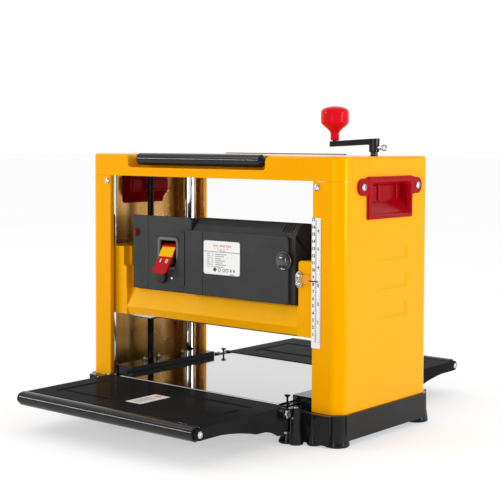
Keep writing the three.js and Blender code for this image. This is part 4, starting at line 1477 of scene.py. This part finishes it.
def infeed_table():
    box = edges("infeed_table")
    table = SimpleNamespace(inner=140, outer=309, top=box.z1, half=box.x1)
    sheet = 2.3

    def level(x, y0, y1, radius, drop):
        return panel(-x, x, y0, y1, radius), table.top - drop

    deck = stack("deck", [
        level(table.half - 0.4, -table.outer, -table.inner, 1, sheet),
        level(table.half - 0.4, -table.outer, -table.inner, 1, 1.2),
        level(table.half - 1.0, -table.outer + 0.5, -table.inner - 0.5, 1, 0.3),
        level(table.half - 1.8, -table.outer + 1.2, -table.inner - 1.2, 1, 0),
        level(148.6, -281.6, -177.4, 5, 0),
        level(147.6, -280.6, -178.4, 4.6, 0.2),
        level(146.6, -279.6, -179.4, 4.2, 0.95),
        level(145.8, -278.8, -180.2, 4, 1.1),
        level(142.6, -268.4, -196.6, 4, 1.1),
        level(141.8, -267.6, -197.4, 3.8, 1.0),
        level(140.8, -266.6, -198.4, 3.5, 0.25),
        level(139.8, -265.6, -199.4, 3, 0.1),
    ], "z")
    outline = skirt_outline(table)
    skirts = [
        prism("skirt", outline, "x", table.half - 2.5, table.half),
        prism("skirt", outline, "x", -table.half, -table.half + 2.5),
    ]
    half, outer = table.half - 1, table.outer
    wall = block("wall", -half, half, -outer, -outer + 2.5, 38.5, table.top - 0.6)
    hinge, axle = edges("infeed_hinge_rod"), edges("infeed_roller_axle")
    body = join(deck, *skirts, wall)
    holes = [
        hole("x", (centre.cy, centre.cz), radius, -PAST_LUGS, PAST_LUGS)
        for centre, radius in ((hinge, PIVOT_BORE), (axle, 3.2))
    ]
    cut(body, *holes)
    body.name = "infeed_deck"
    return soften(body, 0.5, 2, 50)


def end_roller(name):
    roller = edges("infeed_end_roller")
    radius = roller.rz
    profile = [
        (3.4, -roller.x1), (7.6, -roller.x1), (7.6, -roller.x1 + 1), (radius - 1.6, -roller.x1 + 1),
        (radius, -roller.x1 + 2.8), (radius, roller.x1 - 2.8), (radius - 1.6, roller.x1 - 1),
        (7.6, roller.x1 - 1), (7.6, roller.x1), (3.4, roller.x1),
    ]
    return turned(name, "x", (roller.cy, roller.cz), profile, 72, closed=True)


def roller_axle(name):
    axle = edges("infeed_roller_axle")
    centre = (axle.cy, axle.cz)
    shaft = rod(name, "x", centre, 2.8, axle.x0 + 2, axle.x1 - 2, 0.2, 24)
    heads = []
    for side in (-1, 1):
        face = side * (axle.x1 - 3.2)
        heads.append(turned("washer", "x", centre, [
            (4.6, face), (4.6, face + side * 0.8), (0.3, face + side * 0.8),
        ], 32))
        heads.append(screw_head("x", centre, face + side * 0.6, side, 4.2, 2.6))
    return merge(name, [shaft, *heads])


def hinge_rod(name):
    hinge = edges("infeed_hinge_rod")
    centre = (hinge.cy, hinge.cz)
    shaft = rod(name, "x", centre, 3.4, hinge.x0 + 2, hinge.x1 - 2, 0.2, 32)
    heads = [hex_head("x", centre, side * (hinge.x1 - 4.6), side, 5.9, 4.4) for side in (-1, 1)]
    return merge(name, [shaft, *heads])


def extension_tables():
    makers = (
        (infeed_table, "deck", "table"),
        (lambda: end_roller("infeed_edge_roller"), "edge_roller", "end_roller"),
        (lambda: roller_axle("infeed_roller_bolt"), "roller_bolt", "roller_axle"),
        (lambda: hinge_rod("infeed_hinge_bolt"), "hinge_bolt", "hinge_rod"),
    )
    for make, word, node in makers:
        piece = make()
        stand_for(mirrored(f"outfeed_{word}", piece, "y"), f"outfeed_{node}")
        stand_for(piece, f"infeed_{node}")
    deck_label()


def deck_label():
    """The small label on the infeed table, with a plain dot and lines on it."""
    top = edges("infeed_table").z1 - 0.1
    label = terraces(-16, 14, -265, -204, [
        (0, 1, top - 0.2), (0, 1, top + 0.1), (0.2, 0.9, top + 0.2),
    ])
    place(stack("deck_label", label, "z"), "infeed_table", "white_plate")
    low, high = top + 0.1, top + 0.3
    dot = prism("deck_label_mark", circle((-1, -214), 5.5, 32), "z", low, high)
    place(dot, "infeed_table", "red_ink")
    rows = []
    for i in range(7):
        y = -259 + i * 5
        rows.append(block("row", -12 + i % 2, 10 - (i * 3) % 5, y, y + 1.4, low, high))
    place(merge("deck_label_rows", rows), "infeed_table", "pale_ink")


# ---------------------------------------------------------------- studio
CAMERA_PLACE = (1.21368, -1.47054, 0.42287)
CAMERA_ANGLES = (39.6048, -2.7965, 0.2407)  # yaw, pitch and roll in degrees
CAMERA_LENS = 87.78
CAMERA_SHIFT = (-0.0046, -0.0989)


def camera():
    yaw, pitch, roll = (radians(angle) for angle in CAMERA_ANGLES)
    ahead = Vector((-sin(yaw) * cos(pitch), cos(yaw) * cos(pitch), sin(pitch)))
    right = Vector((cos(yaw), sin(yaw), 0))
    up = right.cross(ahead)
    columns = (right * cos(roll) + up * sin(roll), up * cos(roll) - right * sin(roll), -ahead)
    lens = bpy.data.cameras.new("camera")
    lens.sensor_width = 36
    lens.lens = CAMERA_LENS
    lens.shift_x, lens.shift_y = CAMERA_SHIFT
    eye = add_object("camera", lens)
    turn = Matrix(columns).transposed().to_4x4()
    eye.matrix_world = Matrix.Translation(CAMERA_PLACE) @ turn
    bpy.context.scene.camera = eye


LIGHT_TARGET = (0.0, 0.0, 0.3)
LIGHTS = (  # name, place, width, height and watts
    ("front_strip", (0.67, -2.48, 0.56), 0.2, 1.06, 9),
    ("side_panel", (2.64, 0.3, 0.6), 0.5, 1.1, 32),
    ("front_box", (-1.45, -1.3, 1.95), 0.6, 0.6, 4),
    ("low_strip", (-2.1, -2.5, 1.02), 1.5, 0.2, 24),
)


def area_light(name, where, width, height, watts):
    light = bpy.data.lights.new(name, "AREA")
    light.shape = "RECTANGLE"
    light.size = width
    light.size_y = height
    light.energy = watts
    lamp = add_object(name, light)
    lamp.location = where
    aim = Vector(LIGHT_TARGET) - Vector(where)
    lamp.rotation_euler = aim.to_track_quat("-Z", "Y").to_euler()


TOWARDS_BACKDROP = (-0.64, 0.77, 0.0)
FLOOR_HALF = 30000  # the floor runs this far each way


def studio():
    """A white backdrop behind the machine, somewhat darker behind the viewer."""
    world = bpy.data.worlds.new("studio")
    bpy.context.scene.world = world
    world.use_nodes = True
    tree = world.node_tree
    direction = tree.nodes.new("ShaderNodeTexCoord").outputs["Generated"]
    behind = add_node(tree, "ShaderNodeVectorMath", {
        0: direction, 1: TOWARDS_BACKDROP,
    }, operation="DOT_PRODUCT").outputs["Value"]
    around = add_node(tree, "ShaderNodeMapRange", {
        "Value": behind, "From Min": -0.5, "From Max": 0.7, "To Min": 0.28, "To Max": 1.06,
    }).outputs["Result"]
    height = add_node(tree, "ShaderNodeSeparateXYZ", {0: direction}).outputs["Z"]
    above = add_node(tree, "ShaderNodeMapRange", {
        "Value": height, "From Min": 0.2, "To Max": 0.3,
    }).outputs["Result"]
    total = add_node(tree, "ShaderNodeMath", {0: around, 1: above}, operation="ADD")
    background = tree.nodes["Background"].inputs
    background["Color"].default_value = (1.0, 1.0, 1.0, 1.0)
    tree.links.new(total.outputs["Value"], background["Strength"])

    for light in LIGHTS:
        area_light(*light)

    corners = [(x * FLOOR_HALF, y * FLOOR_HALF, 0) for x, y in ((-1, -1), (1, -1), (1, 1), (-1, 1))]
    floor = new_object("floor", corners, [(0, 1, 2, 3)])
    floor.data.materials.append(LOOKS["floor_paint"])
    bpy.context.scene.view_settings.view_transform = "Standard"


# ---------------------------------------------------------------- the whole machine
for build in (
    base_casting, bed_sheet, bed_fasteners, posts, height_drive, covers, return_rollers,
    carry_handles, crank, height_scale, carriage_casting, dust_wiper, motor_housing, switch_box,
    front_panel, brush_cap, switch_frame, switch_paddle, switch_knob, switch_marks, reset_button,
    rating_plate, pointer, motor_and_drive, chip_chute, cable_gland, cutter, feed_rollers,
    extension_tables, camera, studio,
):
    build()
